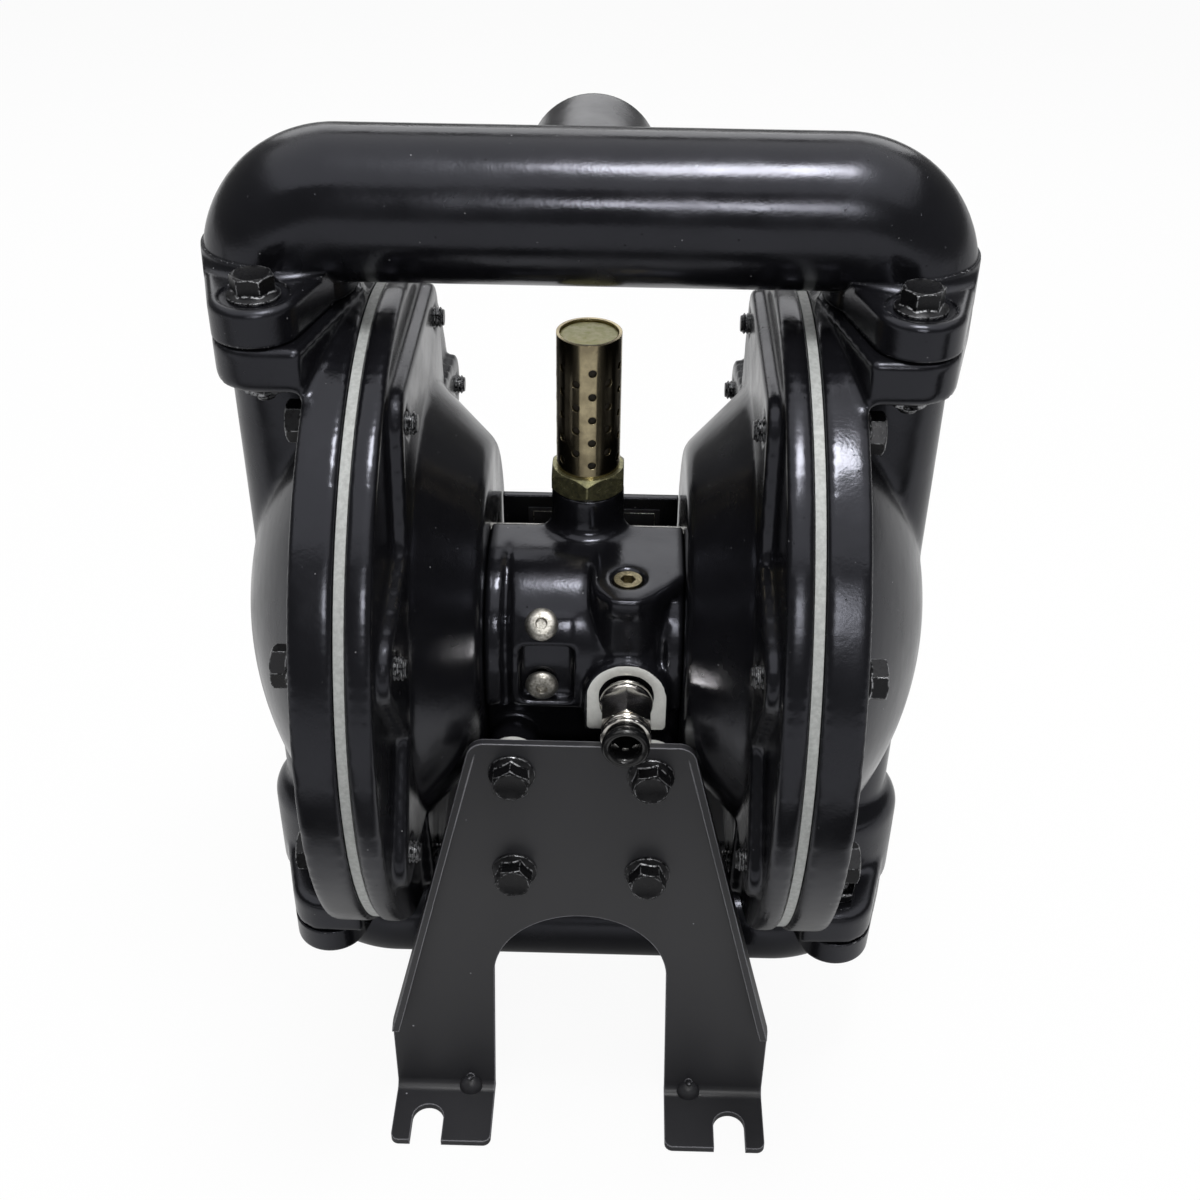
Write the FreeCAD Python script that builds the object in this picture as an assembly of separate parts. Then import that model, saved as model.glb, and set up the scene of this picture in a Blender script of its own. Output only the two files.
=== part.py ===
import FreeCAD, Part
import math
import os

os.makedirs("parts", exist_ok=True)

# Air-operated double diaphragm pump with 1 inch ports, millimetres.
# +X runs along the diaphragm shaft, -Y is the front with the air inlet, +Z is up.
# Every shape is drawn about the pump centre, where the shaft crosses the middle plane,
# and is raised by AXIS_HEIGHT when it is saved, so the origin is on the ground below it.

# Driving sizes of the whole pump
AXIS_HEIGHT = 223.5           # shaft axis above the ground
FLANGE_R = 128.0              # round flanges of the caps
BOLT_CIRCLE_R = FLANGE_R - 18.0
BOLT_COUNT = 8
BOLT_PITCH = 360.0 / BOLT_COUNT
FIRST_BOLT_ANGLE = 22.5       # from the top, degrees
SPLIT_Z = FLANGE_R + 5.0      # joint of the caps with the outlet manifold
ELBOW_RISE = 30.0             # from that joint to the manifold axis
MANIFOLD_HEIGHT = SPLIT_Z + ELBOW_RISE
INLET_DROP = 5.5              # the inlet joint and manifold lie this much further out
VALVE_X = 108.5               # vertical axis of the check valves
STROKE = 12.0                 # shaft travel each way from the middle

# Clearances
ASSEMBLY_GAP = 0.3            # between pieces that are only bolted together
RUNNING_GAP = 0.05            # radial, between a sliding piece and its bore
GASKET_T = 0.8                # thickness of the manifold gaskets
TOOL_GAP = 1.2                # around bolt heads

# Stations along the shaft, from the middle of the pump outwards
HUB_X = 37.0                  # end faces of the centre body
PAD_X = 60.5                  # flat pads that the flange bolts screw into
AIR_FLANGE_X = 66.0           # inboard face of the air cap flange
AIR_SEAL_X = 75.0             # outboard face of the air cap, on the diaphragm
DIAPHRAGM_T = 3.5
FLUID_SEAL_X = AIR_SEAL_X + DIAPHRAGM_T
FLUID_FLANGE_T = 15.0
FLUID_FLANGE_EDGE = 1.2       # rounding of the rims
AIR_FLANGE_EDGE = 1.0
FLUID_FLANGE_X = FLUID_SEAL_X + FLUID_FLANGE_T
DOME_X = 131.6                # top of the fluid cap's dome

# M8 hardware
BOLT_R = 4.0
BOLT_HOLE_R = BOLT_R + ASSEMBLY_GAP
HEX_FLAT = 13.0
HEX_TURN = 30.0               # degrees, so that two flats face along the first axis
HEAD_FLANGE_R = 8.9
HEAD_FLANGE_T = 2.0
HEAD_HEIGHT = 8.0
NUT_HEIGHT = 7.0
BOLT_TAIL = 5.0               # thread that stands out past its nut
STUD_TIP_X = PAD_X - 3.5      # ends of the flange bolts, past the pads
BRACKET_BOLT_L = 18.0

# Fluid caps
DOME_R = FLANGE_R + 2.0
DOME_WALL = 6.5
CHAMBER_R = FLANGE_R - 32.0   # fluid chamber at the diaphragm
MOUTH_DEPTH = 7.0             # straight rim of that chamber
COLUMN_R = 21.0               # upright channels beside the dome
COLUMN_BORE_R = 15.0
VALVE_BODY_R = 27.0           # round housing about the lower ball
VALVE_BORE_R = 20.0
INLET_HOUSING_TOP_Z = -89.0   # shoulder above the inlet ball
SHOULDER_R = 13.0
HOUSING_WALL = 5.0
EAR_R = 15.2
EAR_X = 108.7
EAR_Y = 38.3
CAP_EAR_T = 16.0
MANIFOLD_EAR_T = 12.5
JOINT_R = 25.5                # joint faces about the valve axis
EAR_INNER_X = 93.0            # inboard side of the cap's ears
SADDLE_INNER_X = 79.5         # inboard point of the cap's top face
SADDLE_DEPTH = 33.0
EAR_RIM = 0.8                 # rim around the spot face for the bolt head
EAR_ROUND = 2.5
POCKET_R = 11.8               # spot face for each bolt head

# Manifolds
TUBE_R = 26.4
TUBE_BORE_R = 21.4
ELBOW_X = 107.4               # axis of the legs where they leave the joint flange
BEND_RADIUS = 22.0            # of the tube's axis at both ends
LEG_FLARE = 4.0
GASKET_R = 24.4
PORT_R = 23.5
PORT_Y = 50.0                 # face of the port boss, at the back
PORT_THREAD_R = 15.15         # 1 inch pipe thread, wall of the tapped hole
PORT_THREAD_L = 24.0
PORT_BORE_R = 14.0
PORT_EDGE = 1.5

# Check valves
BALL_R = 17.0
BALL_LIFT = 8.0
SEAT_R = 21.3
SEAT_BORE_R = 13.0
SEAT_HEIGHT = 7.0
BALL_SEATED = math.sqrt(BALL_R ** 2 - SEAT_BORE_R ** 2) + RUNNING_GAP
GUIDE_T = 4.0                 # ribs that keep the ball in the middle
GUIDE_R = BALL_R + 0.6
GUIDE_COUNT = 4

# Air caps
CUP_FLOOR_R = 62.2            # flat floor and 45 degree side, before the edge is rounded
CUP_ROUND = 8.0
CAP_WALL = 4.5
PAD_R = 13.0                  # pad around each flange bolt
NOTCH_R = 87.5                # depth of the notches between the pads
PILOT_HOLE_R = 4.0

# Shaft and diaphragms
SHAFT_R = 10.0
SHAFT_HOLE_R = SHAFT_R + 4.0
SHAFT_END_R = 7.0
SHAFT_END_X = 90.0
PLATE_R = 46.0
PLATE_EDGE_T = 2.5
INNER_PLATE_T = 8.0
OUTER_PLATE_T = 7.0
PLATE_NUT_FLAT = 24.0
DIAPHRAGM_R = FLANGE_R - 1.6
FOLD_DEPTH = 9.0
BUSH_R = 13.5
BUSH_L = 18.0
SEAL_L = 4.0

# Centre body
BODY_FLANGE_X = 30.6          # inner side of the flanges at both ends
GROOVE_X = 27.3               # inner side of the groove beside each flange
GROOVE_DEPTH = 3.5
TOP_Z = 37.5                  # flat top in front of the muffler
BODY_BOTTOM_Z = -101.0
BODY_Y = 44.0
FRONT_Y = 53.0
FRONT_BOTTOM_Z = -13.5        # lower edge of the front
FRONT_ROUND = 4.0
NOSE_R = 36.6                 # rounding from the flat top to the front face
BACK_EDGE_Y = -2.5            # rear edge of the flat top
BACK_STEP = 8.0
VALLEY_Z = -14.0              # floor between the body and its rear cover
INLET_X = 16.3
INLET_Z = -4.0
INLET_FACE_Y = 57.0
INLET_PAD_R = 16.0
INLET_CHAMFER = 1.5           # counterbore at the mouth of the inlet
DRILL_EXTRA = 4.0             # how much deeper the tapped holes are than their screws
INLET_PAD_BOTTOM_Z = -20.8
COLUMN_Y = 40.0               # axis of the half-round column above the inlet
INLET_COLUMN_R = 14.0
PLUG_PAD_Y = 54.5             # front of the flat pad around the plug
PLUG_PAD_T = 7.0
PLUG_PAD_X = 3.6
PLUG_PAD_ROUND = 12.0
PLUG_PAD_REACH = 14.5         # from the inlet axis to where the front turns back
PLUG_PAD_END = 17.0           # how far the front has turned back at the right flange
PLUG_PAD_CORNER = 4.0
PLUG_PAD_EDGE = 1.5
COVER_Y = 44.0
COVER_T = 3.0
COVER_X = 36.5
COVER_TOP_Z = 21.0
COVER_BOTTOM_Z = -60.0
COVER_SCREW_X = 29.0
COVER_SCREW_HIGH_Z = -20.0
COVER_SCREW_LOW_Z = -54.0
COVER_SCREW_R = 2.4
COVER_SCREW_HEAD_R = 4.5
COVER_SCREW_HEAD_T = 3.5
COVER_HOLE_R = 10.5           # holes in the cover for the bracket bosses
PLATE_BARE_X = 27.5
PLATE_BARE_SHIFT = 1.5
PLATE_BARE_T = 0.6
PLATE_BARE_TOP_Z = 15.5
PLATE_BARE_H = 24.0
POCKET_LEFT_X = -23.4         # recess around the lower button screw
POCKET_RIGHT_X = -3.6
POCKET_TOP_Z = 14.0
POCKET_BOTTOM_Z = -10.5
POCKET_DEPTH = 4.5
POCKET_ROUND = 2.5
SCREW_PAD_TOP_Z = 24.5
SCREW_PAD_T = 0.8

# Main air valve, inside the body in front of the shaft
SPOOL_Y = -24.0
SPOOL_Z = 12.0
SPOOL_R = 7.0
SPOOL_GROOVE = 2.5
SLEEVE_R = 10.0
SLEEVE_PORT_R = 2.0
END_PLUG_L = 6.0
SPOOL_TRAVEL = 4.0
SPOOL_HALF = HUB_X - END_PLUG_L - SPOOL_TRAVEL - 7.0
PILOT_Y = 22.0
PILOT_Z = 18.0
PILOT_R = 3.0
PILOT_TRAVEL = 3.0
PILOT_HALF = AIR_SEAL_X - INNER_PLATE_T - STROKE + PILOT_TRAVEL - ASSEMBLY_GAP

# Muffler on top of the body
MUFFLER_BOSS_R = 13.8
MUFFLER_BOSS_FLARE = 5.5
MUFFLER_SEAT_Z = 54.0
MUFFLER_HEX = 27.0
MUFFLER_HEX_T = 9.0
MUFFLER_R = 11.9
MUFFLER_TOP_Z = 117.0
MUFFLER_WALL = 1.2
MUFFLER_CORNER = 0.2          # taken off the corners of the hex
ELEMENT_WALL = 3.0
ELEMENT_CROWN = 5.0
MUFFLER_HOLE_R = 1.5
MUFFLER_HOLE_PITCH = 9.4
MUFFLER_FIRST_HOLE = 5.5      # first hole above the hex
MUFFLER_TURN = 8.0            # front column of holes, degrees to the right of the front
MUFFLER_ROWS = 5
MUFFLER_COLUMNS = 12
PORT_TAIL_R = 8.0
PORT_TAIL_WALL = 2.0
MUFFLER_TAIL = 14.0
MUFFLER_DISC_T = 2.0
MUFFLER_DISC_DEPTH = 1.0
MUFFLER_DISC_EDGE = 0.8

# Push-in air fitting for a 10 mm tube
FITTING_HEX = 17.0
FITTING_HEX_L = 9.0
FITTING_R = 9.0
FITTING_RING_R = 9.6
FITTING_RING_L = 5.0
FITTING_L = 26.0
FITTING_TAIL_R = 8.2
FITTING_TAIL_L = 12.0
FITTING_MOUTH_L = 12.0
TUBE_HOLE_R = 5.1
COLLET_R = 7.6
COLLET_FLANGE_R = 8.6
COLLET_OUT = 4.0
COLLET_IN = 9.0
COLLET_TRAVEL = 1.5
COLLET_EDGE = 0.8

# Brackets
BRACKET_Y = 64.2              # inner face of the upright plate
BRACKET_T = 3.0
BRACKET_TOP_X = 42.1
BRACKET_TOP_Z = -19.7
BRACKET_TOP_ROUND = 5.0
BRACKET_TIP_X = 81.1
BRACKET_TIP_Z = -179.3
FOOT_OUTER_X = 81.1
FOOT_INNER_X = 37.8
FOOT_ROUND = 3.5
ARCH_X = 36.05
ARCH_TOP_Z = -110.4
FOOT_Y = 96.6                 # free edge of the feet
SLOT_X = 66.0
SLOT_R = 6.8
SLOT_END_Y = 78.1
BEND_R = 4.0
LIP_DEPTH = 9.0
LIP_RISE = 18.0               # where the lip reaches its full depth, above the wide corner
LIP_CORNER = 5.0
GUSSET_X = 48.5
GUSSET_R = 7.0
GUSSET_W = 5.0
GUSSET_TIP_R = 0.4
GUSSET_SINK = 0.5
BRACKET_BOLT_X = 26.35
BRACKET_BOLT_HIGH_Z = -33.85
BRACKET_BOLT_LOW_Z = -84.95
BRACKET_BOSS_R = 9.4
BRACKET_TAP_L = 18.0

# Small screws on the body
BUTTON_R = 4.7
BUTTON_T = 2.6
BUTTON_ROUND = 1.6
BUTTON_SHANK_R = 2.5
BUTTON_SHANK_L = 10.0
BUTTON_SOCKET = 3.0
BUTTON_SOCKET_DEPTH = 1.4
BUTTON_X = -15.5
BUTTON_LOW_Z = -0.9
BUTTON_SLANT = 34.0           # degrees above level, upper screw
PLUG_X = 15.9
PLUG_Y = -38.7
PLUG_R = 5.2
PLUG_L = 7.4
PLUG_SINK = 0.6
PLUG_RECESS_R = 6.9
PLUG_RECESS_DEPTH = 1.5
PLUG_SOCKET = 5.0
PLUG_SOCKET_DEPTH = 4.0

X_AXIS = FreeCAD.Vector(1, 0, 0)
Y_AXIS = FreeCAD.Vector(0, 1, 0)
Z_AXIS = FreeCAD.Vector(0, 0, 1)
CENTRE = FreeCAD.Vector(0, 0, 0)


def vec(x, y, z):
    return FreeCAD.Vector(x, y, z)


def rod_x(radius, start, end, y=0.0, z=0.0):
    return Part.makeCylinder(radius, end - start, vec(start, y, z), X_AXIS)


def rod_y(radius, start, end, x=0.0, z=0.0):
    return Part.makeCylinder(radius, end - start, vec(x, start, z), Y_AXIS)


def rod_z(radius, start, end, x=0.0, y=0.0):
    return Part.makeCylinder(radius, end - start, vec(x, y, start), Z_AXIS)


def block(x0, x1, y0, y1, z0, z1):
    return Part.makeBox(x1 - x0, y1 - y0, z1 - z0, vec(x0, y0, z0))


def outline(points):
    """Closed face from corner points; a triple entry is the middle of an arc."""
    edges = []
    here = points[0]
    bend = None
    for point in list(points[1:]) + [points[0]]:
        if isinstance(point, tuple):
            bend = point[0]
            continue
        if bend is None:
            edges.append(Part.LineSegment(here, point).toShape())
        else:
            edges.append(Part.Arc(here, bend, point).toShape())
        here = point
        bend = None
    return Part.Face(Part.Wire(edges))


def turned(points):
    """Solid turned about the shaft axis from (x, radius) corners."""
    face = outline([vec(x, 0, radius) for x, radius in points])
    return face.revolve(CENTRE, X_AXIS, 360)


def hexagon(flat, height, base, direction, turn=0.0):
    """Six-sided prism that stands on base and grows along direction."""
    radius = flat / math.sqrt(3)
    corners = []
    for index in range(6):
        angle = math.radians(60 * index + turn)
        corners.append(vec(radius * math.cos(angle), radius * math.sin(angle), 0))
    prism = outline(corners).extrude(vec(0, 0, height))
    prism.Placement = FreeCAD.Placement(base, FreeCAD.Rotation(Z_AXIS, direction))
    return prism


def at_bolts(make):
    """Copies of a shape drawn at the top of the bolt circle, turned to each bolt."""
    copies = []
    for index in range(BOLT_COUNT):
        shape = make()
        shape.rotate(CENTRE, X_AXIS, FIRST_BOLT_ANGLE + index * BOLT_PITCH)
        copies.append(shape)
    return copies


def mirrored(shape, normal):
    return shape.mirror(CENTRE, normal)


def both_sides(shape, normal):
    return [shape, mirrored(shape, normal)]


def join(shapes):
    return shapes[0].multiFuse(shapes[1:]).removeSplitter()


def soften(shape, radius, chosen):
    """Rounds the edges whose middle point the test accepts."""
    edges = [edge for edge in shape.Edges if chosen(edge.valueAt(middle(edge)), edge)]
    return shape.makeFillet(radius, edges)


def middle(edge):
    return (edge.FirstParameter + edge.LastParameter) / 2


def save(name, shape):
    raised = shape.copy()
    raised.translate(vec(0, 0, AXIS_HEIGHT))
    raised.exportStep("parts/" + name + ".step")


def save_pair(name, right_shape):
    save("right_" + name, right_shape)
    save("left_" + name, mirrored(right_shape, X_AXIS))


def bolt(base, direction, length):
    """Flange-head bolt: base is under the head, direction points out of the head."""
    down = direction * -1
    flange = Part.makeCylinder(HEAD_FLANGE_R, HEAD_FLANGE_T, base, direction)
    head = hexagon(HEX_FLAT, HEAD_HEIGHT, base, direction, HEX_TURN)
    shank = Part.makeCylinder(BOLT_R, length, base, down)
    return join([flange, head, shank])


def nut(base, direction):
    body = hexagon(HEX_FLAT, NUT_HEIGHT, base, direction, HEX_TURN)
    hole = Part.makeCylinder(BOLT_R, NUT_HEIGHT, base, direction)
    return body.cut(hole)


def touch_points(from_x, from_y, from_r, to_x, to_y, to_r, side):
    """Where the straight line that touches two circles meets each of them."""
    along = math.atan2(to_y - from_y, to_x - from_x)
    lean = side * math.acos((from_r - to_r) / math.hypot(to_x - from_x, to_y - from_y))
    out_x = math.cos(along + lean)
    out_y = math.sin(along + lean)
    start = (from_x + from_r * out_x, from_y + from_r * out_y)
    end = (to_x + to_r * out_x, to_y + to_r * out_y)
    return start, end


def on_circle(centre_x, centre_y, radius, degrees):
    angle = math.radians(degrees)
    return vec(centre_x + radius * math.cos(angle), centre_y + radius * math.sin(angle), 0)


def ear_plan(square_inner):
    """Front half of a joint face: a bolt ear joined to the round valve end, right side."""
    ear, end = touch_points(EAR_X, -EAR_Y, EAR_R, VALVE_X, 0, JOINT_R, -1)
    outer_side = [
        (on_circle(EAR_X, -EAR_Y, EAR_R, -50),),
        vec(ear[0], ear[1], 0),
        vec(end[0], end[1], 0),
        (on_circle(VALVE_X, 0, JOINT_R, -7),),
        vec(VALVE_X + JOINT_R, 0, 0),
    ]
    if square_inner:
        front = -EAR_Y - EAR_R
        inner_side = [vec(SADDLE_INNER_X, 0, 0), vec(EAR_INNER_X, front, 0), vec(EAR_X, front, 0)]
        return outline(inner_side + outer_side)
    ear, end = touch_points(EAR_X, -EAR_Y, EAR_R, VALVE_X, 0, JOINT_R, 1)
    inner_side = [
        vec(VALVE_X - JOINT_R, 0, 0),
        (on_circle(VALVE_X, 0, JOINT_R, 187),),
        vec(end[0], end[1], 0),
        vec(ear[0], ear[1], 0),
        (on_circle(EAR_X, -EAR_Y, EAR_R, 230),),
        on_circle(EAR_X, -EAR_Y, EAR_R, 270),
    ]
    return outline(inner_side + outer_side)


def ear_slab(square_inner, low, high):
    plan = ear_plan(square_inner)
    plan.translate(vec(0, 0, low))
    front = plan.extrude(vec(0, 0, high - low))
    return join(both_sides(front, Y_AXIS))


def dome(radius):
    centre_x = DOME_X - DOME_R
    ball = Part.makeSphere(radius, vec(centre_x, 0, 0), X_AXIS)
    return ball.common(rod_x(DOME_R, FLUID_SEAL_X, DOME_X + 1))


def guide_ribs(low, high):
    """Four ribs about the ball, inside a valve housing."""
    ribs = []
    for index in range(GUIDE_COUNT):
        rib = block(GUIDE_R, VALVE_BORE_R + GUIDE_T, -GUIDE_T / 2, GUIDE_T / 2, low, high)
        rib.rotate(CENTRE, Z_AXIS, 45 + index * 360.0 / GUIDE_COUNT)
        rib.translate(vec(VALVE_X, 0, 0))
        ribs.append(rib)
    return ribs


def inlet_valve_housing():
    """Round housing of the lower ball, with a rounded shoulder."""
    housing = rod_z(VALVE_BODY_R, -SPLIT_Z - INLET_DROP, INLET_HOUSING_TOP_Z, VALVE_X)
    return soften(housing, SHOULDER_R, lambda point, edge: point.z > INLET_HOUSING_TOP_Z - 0.1)


def cap_ears():
    """Upper joint of the fluid cap: two ears and the saddle that ties them to the flange."""
    low = SPLIT_Z - CAP_EAR_T
    ears = ear_slab(True, low, SPLIT_Z)
    ears = soften(ears, EAR_ROUND, lambda point, edge: point.z < low + 0.1 and point.x > EAR_X)
    floor = SPLIT_Z - SADDLE_DEPTH
    reach = EAR_Y + EAR_R
    saddle = block(SADDLE_INNER_X, FLUID_FLANGE_X, -reach, reach, floor, SPLIT_Z - EAR_ROUND)
    return [ears, saddle.common(ear_slab(True, floor, SPLIT_Z))]


def fluid_cap_walls():
    flange = rod_x(FLANGE_R, FLUID_SEAL_X, FLUID_FLANGE_X)
    flange = soften(flange, FLUID_FLANGE_EDGE, lambda point, edge: edge.Length > 2 * BOLT_CIRCLE_R)
    column = rod_z(COLUMN_R, -SPLIT_Z - INLET_DROP, SPLIT_Z, VALVE_X)
    joint_end = rod_z(JOINT_R, SPLIT_Z - CAP_EAR_T, SPLIT_Z, VALVE_X)
    upper = join(cap_ears() + [joint_end])
    lower = mirrored(upper, Z_AXIS)
    lower.translate(vec(0, 0, -INLET_DROP))
    return join([flange, dome(DOME_R), column, upper, lower, inlet_valve_housing()])


def fluid_cap():
    """Outer cap of the right side: flange, dome, upper channel and inlet valve housing."""
    low_joint = -SPLIT_Z - INLET_DROP
    cavity = dome(DOME_R - DOME_WALL).common(rod_x(CHAMBER_R, FLUID_SEAL_X, DOME_X))
    mouth = rod_x(CHAMBER_R, FLUID_SEAL_X - 1, FLUID_SEAL_X + MOUTH_DEPTH)
    channel = rod_z(COLUMN_BORE_R, 0, SPLIT_Z + 1, VALVE_X)
    seat_top = rod_z(SEAT_R + ASSEMBLY_GAP, SPLIT_Z - SEAT_HEIGHT, SPLIT_Z + 1, VALVE_X)
    valve_top = INLET_HOUSING_TOP_Z - HOUSING_WALL
    valve_bore = rod_z(VALVE_BORE_R, low_joint - 1, valve_top, VALVE_X)
    ribs = guide_ribs(low_joint, valve_top)
    passage = rod_z(COLUMN_BORE_R, valve_top - 1, 0, VALVE_X)
    holes = [cavity, mouth, channel, seat_top, valve_bore.cut(ribs[0].multiFuse(ribs[1:])), passage]
    for face in (SPLIT_Z, low_joint):
        for y_side in (1, -1):
            low = face - 2 * CAP_EAR_T
            holes.append(rod_z(BOLT_HOLE_R, low, low + 4 * CAP_EAR_T, EAR_X, y_side * EAR_Y))
    holes += at_bolts(lambda: rod_x(BOLT_HOLE_R, FLUID_SEAL_X - 1, FLUID_FLANGE_X + 1, 0, BOLT_CIRCLE_R))
    # room for the bolt heads and a socket where they pass close to the columns and ears
    room = HEAD_FLANGE_R + TOOL_GAP
    holes += at_bolts(lambda: rod_x(room, FLUID_FLANGE_X, DOME_X, 0, BOLT_CIRCLE_R))
    return fluid_cap_walls().cut(holes[0].multiFuse(holes[1:]))


def cup_radius(x):
    """Outer radius of the cup's 45 degree side."""
    return CUP_FLOOR_R + x - HUB_X


def air_cap():
    """Inner cap of the right side: flange, a pad for each bolt, and a deep cup to the body."""
    flange = rod_x(FLANGE_R, AIR_FLANGE_X, AIR_SEAL_X)
    flange = soften(flange, AIR_FLANGE_EDGE, lambda point, edge: edge.Length > 2 * BOLT_CIRCLE_R)
    cup = turned([
        (HUB_X, 0),
        (HUB_X, CUP_FLOOR_R),
        (AIR_FLANGE_X + 1, cup_radius(AIR_FLANGE_X + 1)),
        (AIR_FLANGE_X + 1, 0),
    ])
    cup = soften(cup, CUP_ROUND, lambda point, edge: edge.BoundBox.XMax < HUB_X + 0.1)
    wall = CAP_WALL * math.sqrt(2)
    floor = HUB_X + CAP_WALL
    inside = turned([
        (floor, 0),
        (floor, cup_radius(floor) - wall),
        (AIR_SEAL_X + 1, cup_radius(AIR_SEAL_X + 1) - wall),
        (AIR_SEAL_X + 1, 0),
    ])
    holes = [inside, rod_x(SHAFT_HOLE_R, HUB_X - 1, AIR_SEAL_X)]
    holes += at_bolts(lambda: rod_x(BOLT_HOLE_R, STUD_TIP_X, AIR_SEAL_X + 1, 0, BOLT_CIRCLE_R))
    holes.append(rod_x(PILOT_HOLE_R, HUB_X - 1, AIR_FLANGE_X, PILOT_Y, PILOT_Z))
    walls = join([flange, cup] + at_bolts(stud_pad) + both_sides(pad_bridge(), Z_AXIS))
    return walls.cut(holes[0].multiFuse(holes[1:]))


def stud_pad():
    """Flat pad from the cup out to a flange bolt, with a round end, drawn at the top."""
    half = math.radians(BOLT_PITCH / 2)
    notch_y = NOTCH_R * math.sin(half)
    notch_z = NOTCH_R * math.cos(half)
    across = math.hypot(notch_y, BOLT_CIRCLE_R - notch_z)
    rise = math.atan2(BOLT_CIRCLE_R - notch_z, notch_y) + math.asin(PAD_R / across)
    touch_y = PAD_R * math.sin(rise)
    touch_z = BOLT_CIRCLE_R + PAD_R * math.cos(rise)
    plan = outline([
        vec(PAD_X, 0, 0),
        vec(PAD_X, -notch_y, notch_z),
        vec(PAD_X, -touch_y, touch_z),
        (vec(PAD_X, 0, BOLT_CIRCLE_R + PAD_R),),
        vec(PAD_X, touch_y, touch_z),
        vec(PAD_X, notch_y, notch_z),
    ])
    return plan.extrude(vec(AIR_FLANGE_X + 1 - PAD_X, 0, 0))


def pad_bridge():
    """Fills the notch between the two highest bolts with a straight edge."""
    angle = math.radians(FIRST_BOLT_ANGLE)
    half = BOLT_CIRCLE_R * math.sin(angle)
    high = BOLT_CIRCLE_R * math.cos(angle) + PAD_R
    return block(PAD_X, AIR_FLANGE_X + 1, -half, half, high - 2 * PAD_R, high)


def diaphragm():
    """Round membrane: clamped rim, one folded ring and a flat middle."""
    rim = CHAMBER_R - 1
    inner = PLATE_R + 1
    crest = (rim + inner) / 2
    left = AIR_SEAL_X
    right = FLUID_SEAL_X
    face = outline([
        vec(right, 0, SHAFT_END_R + ASSEMBLY_GAP),
        vec(right, 0, inner),
        (vec(right + FOLD_DEPTH, 0, crest),),
        vec(right, 0, rim),
        vec(right, 0, DIAPHRAGM_R),
        vec(left, 0, DIAPHRAGM_R),
        vec(left, 0, rim - DIAPHRAGM_T / 2),
        (vec(left + FOLD_DEPTH, 0, crest),),
        vec(left, 0, inner + DIAPHRAGM_T / 2),
        vec(left, 0, SHAFT_END_R + ASSEMBLY_GAP),
    ])
    sheet = face.revolve(CENTRE, X_AXIS, 360)
    holes = at_bolts(lambda: rod_x(BOLT_HOLE_R, left - 1, right + 1, 0, BOLT_CIRCLE_R))
    return sheet.cut(holes[0].multiFuse(holes[1:]))


def inner_plate():
    """Air-side plate between shaft shoulder and diaphragm."""
    back = AIR_SEAL_X - INNER_PLATE_T
    return turned([
        (back, SHAFT_END_R),
        (back, PLATE_R / 2),
        (AIR_SEAL_X - 2 * PLATE_EDGE_T, PLATE_R - PLATE_EDGE_T),
        (AIR_SEAL_X - PLATE_EDGE_T, PLATE_R),
        (AIR_SEAL_X, PLATE_R - 1),
        (AIR_SEAL_X, SHAFT_END_R),
    ])


def outer_plate():
    """Fluid-side plate, with a rounded back and a low hex to tighten it."""
    front = FLUID_SEAL_X + OUTER_PLATE_T
    disc = turned([
        (FLUID_SEAL_X, 0),
        (FLUID_SEAL_X, PLATE_R - 1),
        (FLUID_SEAL_X + PLATE_EDGE_T, PLATE_R),
        (front, PLATE_R / 2),
        (front, 0),
    ])
    nose = hexagon(PLATE_NUT_FLAT, SHAFT_END_X + CAP_WALL - front, vec(front, 0, 0), X_AXIS)
    return join([disc, nose]).cut(rod_x(SHAFT_END_R, FLUID_SEAL_X - 1, SHAFT_END_X))


def shaft():
    middle_part = rod_x(SHAFT_R, INNER_PLATE_T - AIR_SEAL_X, AIR_SEAL_X - INNER_PLATE_T)
    ends = rod_x(SHAFT_END_R, -SHAFT_END_X, SHAFT_END_X)
    return join([middle_part, ends])


def bush():
    start = HUB_X - SEAL_L - BUSH_L
    return rod_x(BUSH_R, start, start + BUSH_L).cut(rod_x(SHAFT_R + RUNNING_GAP, start - 1, HUB_X))


def shaft_seal():
    start = HUB_X - SEAL_L
    return rod_x(BUSH_R, start, HUB_X).cut(rod_x(SHAFT_R + RUNNING_GAP, start - 1, HUB_X + 1))


def body_side(front_y):
    """Side outline of the body: flat top, rounded nose, straight front."""
    lean = NOSE_R * math.sqrt(0.5)
    nose_y = NOSE_R - front_y
    nose_z = TOP_Z - NOSE_R
    return outline([
        vec(0, BACK_EDGE_Y, TOP_Z),
        vec(0, nose_y, TOP_Z),
        (vec(0, nose_y - lean, nose_z + lean),),
        vec(0, -front_y, nose_z),
        vec(0, -front_y, FRONT_BOTTOM_Z),
        vec(0, -BODY_Y, FRONT_BOTTOM_Z - FRONT_ROUND),
        vec(0, -BODY_Y, BODY_BOTTOM_Z),
        vec(0, BODY_Y, BODY_BOTTOM_Z),
        vec(0, BODY_Y, VALLEY_Z),
        vec(0, BACK_EDGE_Y + BACK_STEP, VALLEY_Z),
        vec(0, BACK_EDGE_Y, VALLEY_Z + BACK_STEP),
    ])


def body_slice(front_y, start, end):
    side = body_side(front_y)
    side.translate(vec(start, 0, 0))
    return side.extrude(vec(end - start, 0, 0))


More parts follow.
